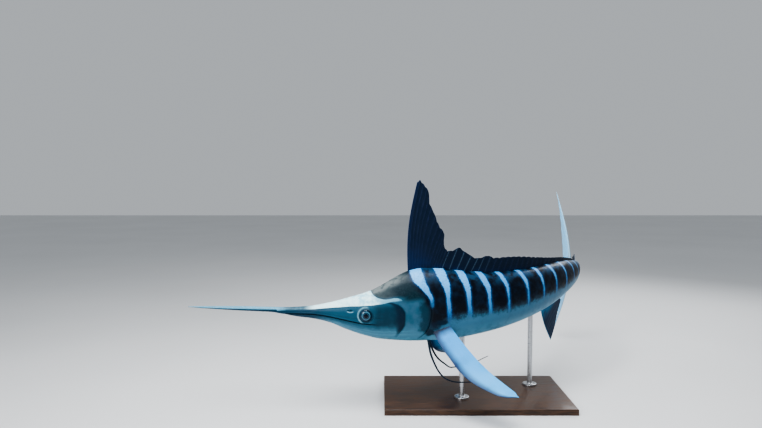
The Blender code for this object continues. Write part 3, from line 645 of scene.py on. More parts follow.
def bar_masks(s, share):
    """Numbers for the bars and the back, and the first bar's s at each height.

    Phase counts the bars from the head: it is a whole number on the middle of each.
    """
    first, others = smooth_curve(FIRST_LEAN)(share), smooth_curve(BAR_LEAN)(share)
    places = [BARS[0][0] - 0.08 - first * BARS[0][2]]
    places += [s_mid - lean * (others if i else first) for i, (s_mid, _, lean) in enumerate(BARS)]
    places += [places[-1] + 0.06]
    phase = sum(np.clip((s - a) / (b - a), 0, 1) for a, b in zip(places, places[1:]))
    spacing = np.interp(phase, range(1, len(BARS)), np.diff([b[0] for b in BARS]))
    width = np.interp(phase, range(1, len(BARS) + 1), [b[1] for b in BARS])
    broad = mix(0.85, 1.85, smooth_step(share, 0.6, 1.0)) * width / 2
    wedge = mix(0.5, 1.28, smooth_step(share, 0.56, 0.97)) * FIRST_WIDE / 2
    broad = mix(wedge, broad, smooth_step(phase, 1.3, 1.7))
    under = share - smooth_curve(BELLY_EDGE)(s)
    return {"along": s, "rise": share, "phase": phase, "broad": broad / spacing, "under": under}, places[1]


def white_masks(s, share):
    """The white forehead and its streak, the taupe nape above them and a painted highlight along its crest.
    """
    edge = 0.022
    low = smooth_curve(WHITE_LOW)(s)
    top = smooth_curve(WHITE_HIGH)(s)
    white = window(share, low - edge, low + edge, top - edge, top + edge)
    nape = smooth_step(s, 0.47, 0.52) * smooth_step(share, 0.56, 0.66)
    taupe = np.maximum(smooth_step(share, top - 0.03, top + 0.05), nape)
    return {
        "white": white * (1 - smooth_step(s, 0.455, 0.51)),
        "taupe": taupe * smooth_step(s, 0.33, 0.36),
        # A painted highlight along the top of the nape
        "crest_highlight": smooth_step(share, 0.86, 0.95) * (1 - smooth_step(s, 0.45, 0.53)),
    }


def gill_masks(s, up, share, first_bar):
    """The head's extent, the painted shadow crescent on the cheek, the gill cover and the dark column behind
    it.
    """
    front = s - smooth_curve(GILL_FRONT)(up)
    thick = mix(0.01, 0.046, smooth_step(up, -0.105, -0.035) * (1 - 0.5 * smooth_step(up, 0.0, 0.05)))
    # A painted shadow on the cheek, ahead of the rear edge of the cheek's plate
    shadow_crescent = window(up, -0.11, -0.07, 0.035, 0.065) * window(front, -thick, -0.35 * thick, -0.001, 0.006)
    behind_eye = smooth_step(s, 0.355, 0.4) * window(up, -0.085, -0.055, 0.015, 0.04)
    below_bar = 0.02 * (1 - smooth_step(share, 0.44, 0.6))
    return {
        "head": 1 - smooth_step(s - first_bar - below_bar, -0.045, -0.017),
        # Painted shadow on the cheek
        "shadow_crescent": shadow_crescent,
        "opercle": smooth_step(front, 0.0, 0.01),
        "behind": behind_eye * (1 - smooth_step(front, 0.0, 0.006)),
        "column": smooth_step(s, 0.528, 0.588) * window(up, -0.11, -0.07, 0.03, 0.07),
    }


def small_masks(s, up, arc):
    """The painted shade in the eye's socket, the pale orbit, the nostril's rim, the painted shade in the
    mouth's slit and the painted shadow at the pectoral fin's root.
    """
    def oval(centre_s, centre_up, long, tall):
        return np.hypot((s - centre_s) / long, (up - centre_up) / tall)

    eye, angle = from_eye(s, up)
    # A ring of painted shade round the eye's socket
    shade_ring = bell(eye, SOCKET_RADIUS + 0.001, 0.0052)
    # Painted shadow round the pectoral fin's root
    root_shadows = [bell(oval(*root_shadow), 0.0, 1.0) for root_shadow in PECTORAL_ROOT_SHADOWS]
    in_mouth = window(s, -0.004, 0.01, MOUTH_CORNER - 0.04, MOUTH_CORNER + 0.01)
    return {
        # Painted shade in and round the eye's socket
        "socket": np.where(eye < SOCKET_RADIUS, 1.0, shade_ring),
        "orbit": bell(eye, 0.0335, 0.0028) * smooth_step(np.cos(angle - 2.75), -0.15, 0.45),
        "nostril": bell(oval(0.278, 0.003, 0.0125, 0.006), 1.0, 0.24) * smooth_step(0.002 - up, 0.0, 0.003),
        # Painted shade in the slit of the mouth
        "mouth": in_mouth * bell(arc, 0.0, 0.0028),
        # Painted shadow round the pectoral fin's root
        "root_shadow": np.maximum(*root_shadows),
    }


# Colours of the back, the bars and the belly
BLACK = (0.0016, 0.004, 0.011)
NAVY = (0.005, 0.018, 0.042)
BACK_BLUE = (0.012, 0.056, 0.12)
COBALT = (0.012, 0.08, 0.25)
BAR_BLUE = (0.07, 0.28, 0.6)
BAR_WHITE = (0.15, 0.44, 0.8)
SILVER = (0.066, 0.192, 0.305)
DULL_SILVER = (0.052, 0.15, 0.24)
BELLY_WHITE = (0.17, 0.39, 0.54)
TAIL_ROOT = (0.22, 0.46, 0.68)

# Colours of the head
TEAL = (0.018, 0.085, 0.14)
DARK_TEAL = (0.007, 0.04, 0.07)
SNOUT = (0.008, 0.048, 0.09)
OPERCLE = (0.046, 0.124, 0.194)
DARK_OPERCLE = (0.024, 0.1, 0.16)
COLUMN = (0.006, 0.038, 0.066)
LOW_HEAD = (0.085, 0.222, 0.32)
PALE_RIM = (0.13, 0.35, 0.46)
BONE = (0.64, 0.86, 0.9)
WET_WHITE = (0.24, 0.52, 0.66)
STREAK = (0.18, 0.4, 0.52)
BILL_BLUE = (0.15, 0.35, 0.48)
BILL_DULL = (0.05, 0.115, 0.16)
TAUPE = (0.052, 0.076, 0.086)
TAUPE_FLECK = (0.02, 0.05, 0.065)
# Painted highlight along the top of the nape
CREST_HIGHLIGHT = (0.17, 0.2, 0.205)
DARK_NAPE = (0.004, 0.022, 0.034)
ORBIT = (0.3, 0.56, 0.66)
NOSTRIL_RIM = (0.34, 0.6, 0.7)
SHADOW = (0.001, 0.017, 0.04)
# Painted shade in the skin's hollows
HOLLOW_SHADE = (0.004, 0.018, 0.03)
# Painted shade in the eye's socket
SOCKET_SHADE = (0.004, 0.02, 0.038)
# Painted shade in the slit of the mouth
MOUTH_SHADE = (0.004, 0.016, 0.026)
GLINT = (0.1, 0.18, 0.24)


def skin_material():
    """Wet skin: near-black back with pale bars, silver belly and a white, taupe and teal head."""
    m = Shader("wet_skin", coat=0.1)
    rise, along = m.attribute("rise"), m.attribute("along")
    patch, small, fine = m.noise(26.0, 5.0), m.noise(55.0, 4.0), m.noise(260.0)
    ragged, speckle = m.plus(m.noise(48.0, 6.0), -0.5), m.plus(m.noise(150.0, 5.0), -0.5)
    cheek = paint_cheek(m, rise, along, patch, small, ragged)
    skin = m.paint(
        paint_back(m, rise, patch, ragged, speckle),
        (m.attribute("head"), paint_head(m, cheek, along, small, ragged, speckle)),
        (m.ramp(m.plus(along, ragged, 0.03), 2.008, 2.036, 0.0, 0.9), TAIL_ROOT),
        # Painted shadow round the pectoral fin's root
        (m.ramp(m.plus(m.attribute("root_shadow"), ragged), 0.35, 0.75, 0.0, 0.93), SHADOW),
        # Painted shade in the skin's hollows
        (m.times(m.attribute("hollow_shade"), 0.55), HOLLOW_SHADE),
        (m.ramp(fine, 0.45, 0.85, 0.0, 0.04), GLINT),
    )
    grain = m.noise(420.0, where=m.along("along", "rise"))
    rough = m.ramp(small, 0.25, 0.75, 0.38, 0.54)
    return m.finish(skin, rough, (grain, 0.08, 0.0008), (small, 0.1, 0.0015))


def paint_back(m, rise, patch, ragged, speckle):
    """The colour of the body: bars on a near-black back, fading into a silver belly."""
    phase = m.attribute("phase")
    distance = m.plus(m.plus(m.from_middle(m.plus(phase, 0.5)), ragged, 0.1), speckle, 0.08)
    inside = m.plus(distance, m.attribute("broad"), -1.0)
    low = m.plus(rise, ragged, 0.3)
    shown = m.between(m.ramp(phase, 1.5, 1.6), m.ramp(low, 0.46, 0.66), m.ramp(low, 0.2, 0.4))
    shown = m.times(shown, m.window(phase, 0.45, 0.55, 15.4, 15.6))
    bar = m.paint(
        COBALT,
        (m.ramp(rise, 0.3, 0.58), BAR_BLUE),
        (m.ramp(rise, 0.56, 0.84), BAR_WHITE),
        (m.ramp(speckle, -0.02, 0.16, 0.0, 0.6), BAR_BLUE),
        (m.ramp(phase, 2.3, 4.2, 0.0, 0.45), BAR_BLUE),
    )
    silver = m.paint(
        SILVER,
        (m.ramp(rise, 0.26, 0.0), BELLY_WHITE),
        (m.ramp(patch, 0.45, 0.7, 0.0, 0.45), DULL_SILVER),
    )
    under = m.plus(m.plus(m.attribute("under"), ragged, 0.16), speckle, 0.1)
    return m.paint(
        BLACK,
        (m.ramp(patch, 0.42, 0.72), NAVY),
        (m.times(m.ramp(rise, 0.78, 0.95), m.ramp(patch, 0.38, 0.6)), BACK_BLUE),
        (m.times(m.ramp(inside, 0.12, 0.0), shown, 0.45), COBALT),
        (m.times(m.ramp(inside, 0.03, -0.045), shown), bar),
        (m.ramp(under, 0.14, -0.02, 0.0, 0.35), SILVER),
        (m.ramp(under, 0.055, -0.055), silver),
    )


def paint_cheek(m, rise, along, patch, small, ragged):
    """The colour of the cheek, gill cover and throat."""
    level = m.plus(rise, ragged, 0.12)
    stripes = m.from_middle(m.plus(m.times(rise, 17.0), ragged, 0.5))
    throat = m.times(m.window(along, 0.16, 0.26, 0.48, 0.57), m.ramp(rise, 0.24, 0.17))
    return m.paint(
        TEAL,
        (m.attribute("opercle"), m.paint(OPERCLE, (m.ramp(patch, 0.35, 0.7), DARK_OPERCLE))),
        (m.times(m.attribute("behind"), m.ramp(small, 0.15, 0.55, 0.7, 0.97)), DARK_TEAL),
        (m.ramp(level, 0.34, 0.1), LOW_HEAD),
        (m.times(m.ramp(stripes, 0.3, 0.48), throat, 0.4), PALE_RIM),
        (m.times(m.ramp(level, 0.075, 0.02), m.ramp(along, 0.24, 0.36), 0.6), PALE_RIM),
        (m.ramp(m.plus(m.attribute("column"), ragged, 0.9), 0.18, 0.86, 0.0, 0.94), COLUMN),
        # Painted shadow on the cheek
        (m.times(m.attribute("shadow_crescent"), 0.95), SHADOW),
        (m.ramp(along, 0.22, 0.1), SNOUT),
    )


def paint_head(m, cheek, along, small, ragged, speckle):
    """The colour of the head: white and taupe over the cheek, a painted highlight on the crest, the eye's and
    nostril's pale rims, and painted shade in the eye's socket and the mouth's slit.
    """
    taupe = m.paint(
        TAUPE,
        (m.ramp(m.plus(along, ragged, 0.1), 0.39, 0.49), DARK_NAPE),
        (m.ramp(speckle, -0.05, 0.16, 0.0, 0.35), TAUPE_FLECK),
        # A painted highlight along the top of the nape
        (m.times(m.attribute("crest_highlight"), m.ramp(ragged, -0.25, 0.05)), CREST_HIGHLIGHT),
    )
    white = m.paint(
        BILL_BLUE,
        (m.ramp(m.plus(along, ragged, 0.06), -0.03, 0.02), BILL_DULL),
        (m.ramp(along, 0.075, 0.135), BONE),
        (m.times(m.ramp(small, 0.38, 0.68), m.ramp(along, 0.2, 0.34, 0.15, 0.75)), WET_WHITE),
        (m.ramp(m.plus(along, ragged, 0.08), 0.355, 0.42), STREAK),
    )
    shown = m.plus(m.plus(m.attribute("white"), ragged, 0.42), speckle, 0.3)
    return m.paint(
        cheek,
        (m.attribute("taupe"), taupe),
        (m.ramp(shown, 0.3, 0.66), white),
        (m.times(m.attribute("orbit"), 0.7), ORBIT),
        (m.times(m.attribute("nostril"), 0.85), NOSTRIL_RIM),
        # Painted shade in and round the eye's socket
        (m.times(m.attribute("socket"), 0.92), SOCKET_SHADE),
        # Painted shade in the slit of the mouth
        (m.times(m.attribute("mouth"), 0.9), MOUTH_SHADE),
    )


# Fins

BURY = 0.012
HALF_GAP = 0.00015
LOBE_END = 0.66
LOBE_BOW = -0.017
LOBE_RAYS = 13
LOW_RAYS = 29
# The dorsal fin's edge over each place of its base: (s, height) and (s, lean towards the tail)
RAY_HEIGHT = (
    (0.519, 0.372), (0.527, 0.381), (0.536, 0.367), (0.546, 0.35), (0.556, 0.326),
    (0.568, 0.276), (0.582, 0.225), (0.597, 0.179), (0.612, 0.15), (0.628, 0.112),
    (0.643, 0.084), (0.658, 0.074), (0.68, 0.081), (0.706, 0.093), (0.718, 0.082),
    (0.74, 0.072), (0.757, 0.063), (0.785, 0.053), (0.81, 0.056), (0.845, 0.066),
    (0.88, 0.0575), (0.96, 0.0595), (1.04, 0.0555), (1.15, 0.042), (1.3, 0.024),
    (1.63, 0.006),
)
RAY_LEAN = (
    (0.519, 0.038), (0.527, 0.04), (0.536, 0.043), (0.546, 0.046), (0.556, 0.05),
    (0.568, 0.044), (0.582, 0.052), (0.597, 0.056), (0.612, 0.062), (0.628, 0.046),
    (0.643, 0.037), (0.66, 0.037), (0.7, 0.042), (0.78, 0.04), (0.92, 0.036), (1.63, 0.012),
)
# The small fins on the midline: front and rear of the base, and the edge, in (s, up)
DORSAL_SECOND = (
    (1.8, 0.041 - BURY), (1.885, 0.034 - BURY),
    ((1.845, 0.07), (1.88, 0.061), (1.905, 0.05), (1.96, 0.041)),
)
ANAL_FIRST = (
    (1.215, BURY - 0.102), (1.402, BURY - 0.082),
    ((1.311, -0.273), (1.35, -0.222), (1.378, -0.16), (1.42, -0.105)),
)
ANAL_SECOND = (
    (1.755, BURY - 0.042), (1.845, BURY - 0.034),
    ((1.8, -0.082), (1.84, -0.068), (1.865, -0.054), (1.925, -0.044)),
)
# The edge of the tail's upper lobe: (s, up), and how much taller the lower lobe is
TAIL_EDGE = ((2.248, 0.4), (2.203, 0.315), (2.167, 0.205), (2.143, 0.1), (TAIL_FORK, 0.0))
TAIL_LOWER = 1.06
TAIL_BOW = -0.022

# Half-thickness of the membrane, then height of its rays: (at the root, at the edge)
DORSAL_HALVES = ((0.0012, 0.0003), (0.001, 0.0005))
SMALL_HALVES = ((0.0011, 0.0003), (0.0008, 0.0004))
TAIL_HALVES = ((0.0055, 0.0004), (0.001, 0.0005))

# Colours of the membrane, of its rays and of its root
DORSAL_COLOURS = ((0.006, 0.016, 0.038), (0.02, 0.032, 0.085), (0.008, 0.026, 0.09))
SMALL_COLOURS = ((0.0045, 0.009, 0.024), (0.018, 0.034, 0.07), (0.012, 0.06, 0.12))
ANAL_COLOURS = ((0.002, 0.022, 0.065), (0.01, 0.06, 0.14), (0.045, 0.3, 0.54))
TAIL_COLOURS = ((0.3, 0.62, 0.9), (0.46, 0.78, 0.98), (0.4, 0.58, 0.7))
PELVIC_COLOURS = ((0.006, 0.015, 0.03), (0.03, 0.06, 0.1), (0.02, 0.07, 0.12))
PALE_RAY = (0.06, 0.115, 0.16)
# The shares of the dorsal fin's length between which its rays are pale
PALE_RAYS = (0.3, 0.46)

# Columns of points from one ray to the next
RAY_SAMPLES = 6


def sheet(name, rays, rows, surface):
    """A thin closed body with rays: one grid on each face, joined round the rim.

    Surface takes the ray number and the share of the way from root to edge, and gives the
    middle of the fin there, its normal and its half-thickness.
    """
    columns = RAY_SAMPLES * rays + 1
    ray, out = np.meshgrid(np.linspace(0, rays, columns), np.linspace(0, 1, rows), indexing="ij")
    centre, normal, half = surface(ray, out)
    verts = [(centre + normal * (half * side)[..., None]).reshape(-1, 3) for side in (1, -1)]
    near = grid_faces(columns, rows)
    other = columns * rows
    rim = [i * rows for i in range(columns)]
    rim += [(columns - 1) * rows + j for j in range(1, rows)]
    rim += [i * rows + rows - 1 for i in range(columns - 2, -1, -1)]
    rim += list(range(rows - 2, 0, -1))
    faces = [*near, *(near[:, ::-1] + other)]
    faces += [(a, a + other, b + other, b) for a, b in zip(rim, rim[1:] + rim[:1])]
    piece = mesh_object(name, np.concatenate(verts), faces)
    for attribute, values in (("ray", ray), ("share", ray / rays), ("out", out)):
        give(piece, attribute, np.tile(values.ravel(), 2))
    return piece


def ray_profile(ray, sharp=3.0):
    """1 on the middle of each ray and 0 between two rays."""
    return np.abs(np.cos(math.pi * ray)) ** sharp


def ragged_edge(ray, depth, seed):
    """How much shorter a fin's edge is at each place, as a share of the ray's length."""
    chance = np.random.default_rng(seed)
    knots = chance.uniform(0.15, 1.0, int(ray.max()) * 2 + 3)
    rough = np.interp(ray * 2, np.arange(len(knots)), knots)
    return depth * (1 - ray_profile(ray, 1.0)) * rough


def median_fin(name, bases, tips, rays, rows, bow, halves, notch, seed, wave=0.0):
    """A fin on the fish's midline.

    Bases, tips, bow and notch take the share of the fin's length. Bases and tips give (s, up)
    there, bow how far the rays curve, and notch how deep the gaps between their ends are.
    """
    membrane, ridge = halves

    def surface(ray, out):
        share = ray / rays
        v = out * (1 - ragged_edge(ray, notch(share), seed))
        base_s, base_up = bases(share)
        tip_s, tip_up = tips(share)
        s = mix(base_s, tip_s, v) + bow(share) * np.sin(math.pi * v)
        up = mix(base_up, tip_up, v)
        half = mix(*membrane, v ** 0.7) + mix(*ridge, v ** 0.7) * ray_profile(ray)
        side = wave * v * np.sin(ray * 1.9 + v * 2.0)
        return place(s, side, up), spine(s)[2], half

    return sheet(name, rays, rows, surface)


def fan(base_from, base_to, edge):
    """Bases spread evenly between two places and tips spread along an edge curve."""
    last = len(edge) - 1
    edge_s, edge_up = (smooth_curve([(i, p[n]) for i, p in enumerate(edge)]) for n in (0, 1))

    def bases(share):
        return mix(base_from[0], base_to[0], share), mix(base_from[1], base_to[1], share)

    def tips(share):
        return edge_s(share * last), edge_up(share * last)

    return bases, tips


def steady(number):
    """A function that gives the same number everywhere."""
    return lambda share: number


def make_dorsal():
    """The first dorsal fin: a tall lobe in front of a long low edge."""
    height = smooth_curve(RAY_HEIGHT)
    lean = smooth_curve(RAY_LEAN)
    rays = LOBE_RAYS + LOW_RAYS

    def base_s(share):
        return np.interp(share * rays, [0, LOBE_RAYS, rays], [DORSAL_START, LOBE_END, DORSAL_END])

    def bases(share):
        s = base_s(share)
        return s, back(s) - BURY

    def tips(share):
        s = base_s(share)
        return s + lean(s), back(s) + height(s)

    def bow(share):
        return LOBE_BOW * (1 - smooth_step(base_s(share), DORSAL_START, LOBE_END))

    def notch(share):
        return mix(0.018, 0.065, smooth_step(base_s(share), 0.6, 0.7))

    fin = median_fin("dorsal_fin", bases, tips, rays, 60, bow, DORSAL_HALVES, notch, 5, 0.0004)
    skin = fin_material("dorsal_skin", DORSAL_COLOURS, 0.5, PALE_RAYS)
    dress(fin, skin, "fin_dark", "dorsal_fin_lobe", "dorsal_fin_middle", "dorsal_fin_rear")


def make_small_fins():
    """The second dorsal fin and the two anal fins."""
    dark = fin_material("small_fin_skin", SMALL_COLOURS, 0.5)
    anal = fin_material("anal_fin_skin", ANAL_COLOURS, 0.5)
    for name, outline, rays, rows, bow, skin in (
        ("dorsal_fin_second", DORSAL_SECOND, 7, 24, 0.0, dark),
        ("anal_fin_first", ANAL_FIRST, 14, 50, -0.012, anal),
        ("anal_fin_second", ANAL_SECOND, 7, 24, 0.0, dark),
    ):
        fin = median_fin(name, *fan(*outline), rays, rows, steady(bow), SMALL_HALVES, steady(0.014), 7)
        dress(fin, skin, "fin_dark", name)


def make_tail():
    """The two lobes of the tail."""
    skin = fin_material("tail_skin", TAIL_COLOURS, 0.25)

    def bow(share):
        return TAIL_BOW * (1 - share)

    for name, side, tall in (("tail_fin_upper", 1, 1.0), ("tail_fin_lower", -1, TAIL_LOWER)):
        edge = [(s, side * max(up * tall, HALF_GAP)) for s, up in TAIL_EDGE]
        bases, tips = fan((2.012, side * 0.024), (2.034, side * HALF_GAP), edge)
        fin = median_fin(name, bases, tips, 20, 80, bow, TAIL_HALVES, steady(0.015), 11, 0.0006)
        dress(fin, skin, "fin_pale", name)


# Front and rear edges of the pectoral fin: (backward, left, up) from the axis at its root
PECTORAL_AT = 0.65
PECTORAL_FRONT = (
    (-0.044, 0.04, -0.068), (-0.035, 0.066, -0.093), (-0.019, 0.109, -0.135),
    (0.006, 0.151, -0.176), (0.032, 0.194, -0.217), (0.066, 0.236, -0.248),
    (0.108, 0.279, -0.269), (0.161, 0.322, -0.286), (0.214, 0.35, -0.288),
)
PECTORAL_REAR = (
    (0.015, 0.04, -0.031), (0.032, 0.066, -0.06), (0.06, 0.109, -0.108),
    (0.089, 0.151, -0.15), (0.118, 0.194, -0.187), (0.153, 0.236, -0.223),
    (0.186, 0.279, -0.25), (0.21, 0.322, -0.268), (0.222, 0.35, -0.278),
)
PECTORAL_RAYS = 20
# The share of the fin's breadth about which its tip narrows
PECTORAL_POINT = 0.6


def path_curve(path):
    """A smooth path through (backward, left, up) places, from 0 at its start to 1 at its end."""
    curves = [smooth_curve([(i, p[n]) for i, p in enumerate(path)]) for n in range(3)]
    return lambda t: np.stack([curve(t * (len(path) - 1)) for curve in curves], -1)


def pectoral_place(shape, side):
    """Points of the left pectoral fin, or of its mirror image, given as (backward, left, up)."""
    return place(PECTORAL_AT, side * shape[..., 1], shape[..., 2], shape[..., 0])


def make_pectorals():
    """The pectoral fins: long blades that sweep back, thickest at the root."""
    skin = pectoral_material()
    front_edge, rear_edge = path_curve(PECTORAL_FRONT), path_curve(PECTORAL_REAR)
    for name, side in (("pectoral_fin_L", 1), ("pectoral_fin_R", -1)):
        def surface(ray, out):
            c = ray / PECTORAL_RAYS
            t = out * (1 - ragged_edge(ray, 0.008, 3))
            chord = rear_edge(t) - front_edge(t)
            face = np.cross(front_edge(t + 0.01) - front_edge(t - 0.01), chord)
            face /= np.linalg.norm(face, axis=-1, keepdims=True)
            narrow = 1 - 0.75 * smooth_step(t, 0.9, 1.0)
            shape = front_edge(t) + chord * mix(PECTORAL_POINT, c, narrow)[..., None]
            centre = pectoral_place(shape, side)
            half = mix(0.0045, 0.0005, t ** 0.8) * mix(0.3, 1.0, np.sin(math.pi * mix(0.12, 0.86, c)))
            half = half + 0.0002 * ray_profile(ray) * (1 - t ** 2)
            return centre, pectoral_place(shape + face, side) - centre, half

        dress(sheet(name, PECTORAL_RAYS, 80, surface), skin, "fin_pale", name)


# The paths of the pelvic fins: (backward, left, up) from the axis at their root
PELVIC_AT = 0.62
PELVIC_PATHS = {
    "pelvic_fin_L": (
        (-0.018, 0.01, -0.118), (-0.015, 0.018, -0.142), (-0.01, 0.026, -0.179),
        (0.0, 0.04, -0.214), (0.018, 0.056, -0.253), (0.043, 0.075, -0.28),
        (0.083, 0.095, -0.291), (0.144, 0.12, -0.286), (0.19, 0.135, -0.274),
    ),
    "pelvic_fin_R": (
        (-0.012, -0.006, -0.118), (-0.002, -0.008, -0.149), (0.013, -0.016, -0.185),
        (0.035, -0.025, -0.219), (0.067, -0.034, -0.248), (0.105, -0.042, -0.27),
        (0.17, -0.048, -0.267), (0.272, -0.052, -0.231),
    ),
}
PELVIC_RINGS = 90
PELVIC_AROUND = 20
# Half-width and half-thickness: (at the root, at the tip)
PELVIC_WIDE = (0.006, 0.0014)
PELVIC_THICK = (0.0052, 0.0012)


def make_pelvics():
    """The pelvic fins: two long threads that droop from the belly."""
    skin = fin_material("pelvic_skin", PELVIC_COLOURS, 0.3)
    t, angle = np.linspace(0, 1, PELVIC_RINGS), full_turn(PELVIC_AROUND)
    wide = mix(*PELVIC_WIDE, t)[:, None] * (np.cos(angle) * (1 - 0.1 * np.cos(2 * angle) ** 2))
    thick = mix(*PELVIC_THICK, t)[:, None] * (np.sin(angle) * (1 - 0.35 * np.sin(angle) ** 6))
    for name, path in PELVIC_PATHS.items():
        backward, left, up = path_curve(path)(t).T
        line = place(PELVIC_AT, left, up, backward)
        along = np.gradient(line, axis=0)
        along /= np.linalg.norm(along, axis=1, keepdims=True)
        across = np.cross(along, (0.0, 1.0, 0.25))
        across /= np.linalg.norm(across, axis=1, keepdims=True)
        over = np.cross(along, across)
        verts = line[:, None] + across[:, None] * wide[..., None] + over[:, None] * thick[..., None]
        piece = mesh_object(name, verts.reshape(-1, 3), tube_faces(PELVIC_RINGS, PELVIC_AROUND))
        give(piece, "out", np.repeat(t, PELVIC_AROUND))
        give(piece, "ray", np.tile(np.linspace(0, 3, PELVIC_AROUND), PELVIC_RINGS))
        give(piece, "share", np.tile(np.linspace(0, 1, PELVIC_AROUND), PELVIC_RINGS))
        dress(piece, skin, "fin_dark", name)


def fin_material(name, colours, root_reach, pale_rays=None):
    """A thin fin: dark membrane, rays a little paler and a tint near the root and front edge."""
    dark, ridge, root = colours
    m = Shader(name, coat=0.08)
    ray, out, share = map(m.attribute, ("ray", "out", "share"))
    blotch = m.noise(22.0, 4.0)
    streaks = m.noise(1.0, 4.0, (9.0, 14.0, 1.0), m.along("ray", "out"))
    from_gap = m.from_middle(ray)
    layers = [
        (m.times(m.ramp(from_gap, 0.3, 0.49), m.ramp(streaks, 0.35, 0.7)), ridge),
        (m.times(m.ramp(out, root_reach, 0.02), m.ramp(blotch, 0.25, 0.7)), root),
        (m.times(m.ramp(share, 0.03, 0.0), 0.6), root),
        (m.times(m.ramp(blotch, 0.45, 0.75), 0.35), dark),
    ]
    if pale_rays:
        start, end = pale_rays
        shown = m.window(share, start - 0.02, start + 0.02, end - 0.05, end + 0.03)
        line = m.times(m.ramp(from_gap, 0.4, 0.48), m.ramp(streaks, 0.3, 0.6, 0.15, 0.8))
        layers.append((m.times(line, shown), PALE_RAY))
    rough = m.ramp(blotch, 0.3, 0.7, 0.4, 0.54)
    return m.finish(
        m.paint(dark, *layers), rough, (streaks, 0.35, 0.0006), (m.noise(260.0), 0.12, 0.0004)
    )


# Colours of the pectoral fins
PALE_ROOT = (0.03, 0.33, 0.78)
PALE_TIP = (0.08, 0.46, 0.88)
DARK_STREAK = (0.05, 0.25, 0.56)
BRIGHT_RAY = (0.26, 0.62, 0.9)
# Painted shade along the pectoral fin's front edge
SHADED_FRONT_EDGE = (0.002, 0.036, 0.12)
# Painted shade at the pectoral fin's root, where it meets the body
ROOT_SHADE = (0.002, 0.014, 0.05)


def pectoral_material():
    """Pale blue skin with faint rays, painted shade along its front edge and dark blue painted shade at its
    root.
    """
    m = Shader("pectoral_skin", coat=0.1)
    ray, out, share = map(m.attribute, ("ray", "out", "share"))
    blotch = m.noise(14.0, 4.0)
    streaks = m.noise(1.0, 4.0, (7.0, 10.0, 1.0), m.along("ray", "out"))
    # Painted shade along the front edge, broken by blotches
    edge = m.plus(m.ramp(share, 0.4, 0.0), m.ramp(blotch, 0.45, 0.8), 0.25)
    colour = m.paint(
        PALE_ROOT,
        (m.ramp(out, 0.1, 0.95), PALE_TIP),
        (m.times(m.ramp(streaks, 0.35, 0.75), 0.35), DARK_STREAK),
        (m.times(m.ramp(m.from_middle(ray), 0.32, 0.49), 0.22), BRIGHT_RAY),
        # Painted shade along the front edge
        (m.times(edge, 0.95), SHADED_FRONT_EDGE),
        # Painted shade at the root, where the fin meets the body
        (m.ramp(m.plus(out, blotch, 0.08), 0.235, 0.165), ROOT_SHADE),
    )
    rough = m.ramp(blotch, 0.3, 0.7, 0.3, 0.46)
    return m.finish(colour, rough, (streaks, 0.3, 0.0006), (m.noise(240.0), 0.12, 0.0004))


# Eyes

PUPIL_RADIUS = 0.009
IRIS_RADIUS = 0.017
EYE_RINGS = 59
EYE_AROUND = 96
PUPIL = (0.0004, 0.004, 0.015)
IRIS = (0.006, 0.02, 0.042)
IRIS_FLECK = (0.02, 0.06, 0.105)
IRIS_RIM = (0.07, 0.2, 0.28)
PUPIL_RIM = (0.06, 0.17, 0.24)


def make_eyes():
    """The eyes: flattened balls with a pupil and an iris."""
    skin = eye_material()
    _, tailward, leftward = spine(EYE_S)
    depth = side_width(EYE_S, EYE_UP) + EYE_BULGE - EYE_HALF_DEPTH
    b = np.linspace(0, math.pi, EYE_RINGS + 2)[1:-1, None, None]
    a = full_turn(EYE_AROUND)[:, None]
    rim = np.cos(a) * tailward + np.sin(a) * np.array((0, 0, 1.0))
    for name, side in (("eye_L", 1), ("eye_R", -1)):
        centre = place(EYE_S, side * depth, EYE_UP)
        out = leftward * side * EYE_HALF_DEPTH
        rings = centre + EYE_RADIUS * np.sin(b) * rim + np.cos(b) * out
        verts = np.concatenate([rings.reshape(-1, 3), [centre + out], [centre - out]])
        ball = mesh_object(name, verts, pointed_faces(EYE_RINGS, EYE_AROUND))
        give(ball, "radius", [*np.repeat(EYE_RADIUS * np.sin(b), EYE_AROUND), 0, 0])
        dress(ball, skin, "eye", name)


def eye_material():
    """A black pupil in a dark blue iris with a bright rim, all under a clear, glossy surface."""
    m = Shader("wet_eye", coat=0.45, coat_roughness=0.03)
    flecks = m.noise(620.0, 4.0)
    wide = m.plus(m.attribute("radius"), m.plus(m.noise(160.0), -0.5), 0.0022)
    rim = m.window(wide, IRIS_RADIUS - 0.0038, IRIS_RADIUS - 0.0018, IRIS_RADIUS, IRIS_RADIUS + 0.0022)
    thin = m.window(wide, PUPIL_RADIUS, PUPIL_RADIUS + 0.0004, PUPIL_RADIUS + 0.0008, PUPIL_RADIUS + 0.0016)
    colour = m.paint(
        IRIS,
        (m.ramp(flecks, 0.3, 0.7), IRIS_FLECK),
        (m.ramp(wide, PUPIL_RADIUS + 0.0006, PUPIL_RADIUS - 0.0004), PUPIL),
        (m.times(rim, m.ramp(flecks, 0.2, 0.6, 0.55, 1.0)), IRIS_RIM),
        (m.times(thin, 0.6), PUPIL_RIM),
    )
    return m.finish(colour, 0.25, (m.noise(300.0), 0.02, 0.0002))


# Stand

BASE_LENGTH = 0.8
BASE_WIDTH = 0.46
BASE_HEIGHT = 0.025
BASE_BEVEL = 0.004
ROD_RADIUS = 0.011
ROD_AROUND = 64
FOOT_RADIUS = 0.032
FOOT_HEIGHT = 0.008
FOOT_ROUNDING = 0.0025
FOOT_FILLET = 0.004
ROD_PLACES = {"rod_front": 0.76, "rod_rear": 1.14}
SHARP = math.radians(40)
WOOD = ((0.03, 0.014, 0.008), (0.095, 0.046, 0.024), (0.014, 0.007, 0.005))
STEEL = ((0.46, 0.47, 0.49), (0.6, 0.61, 0.63))


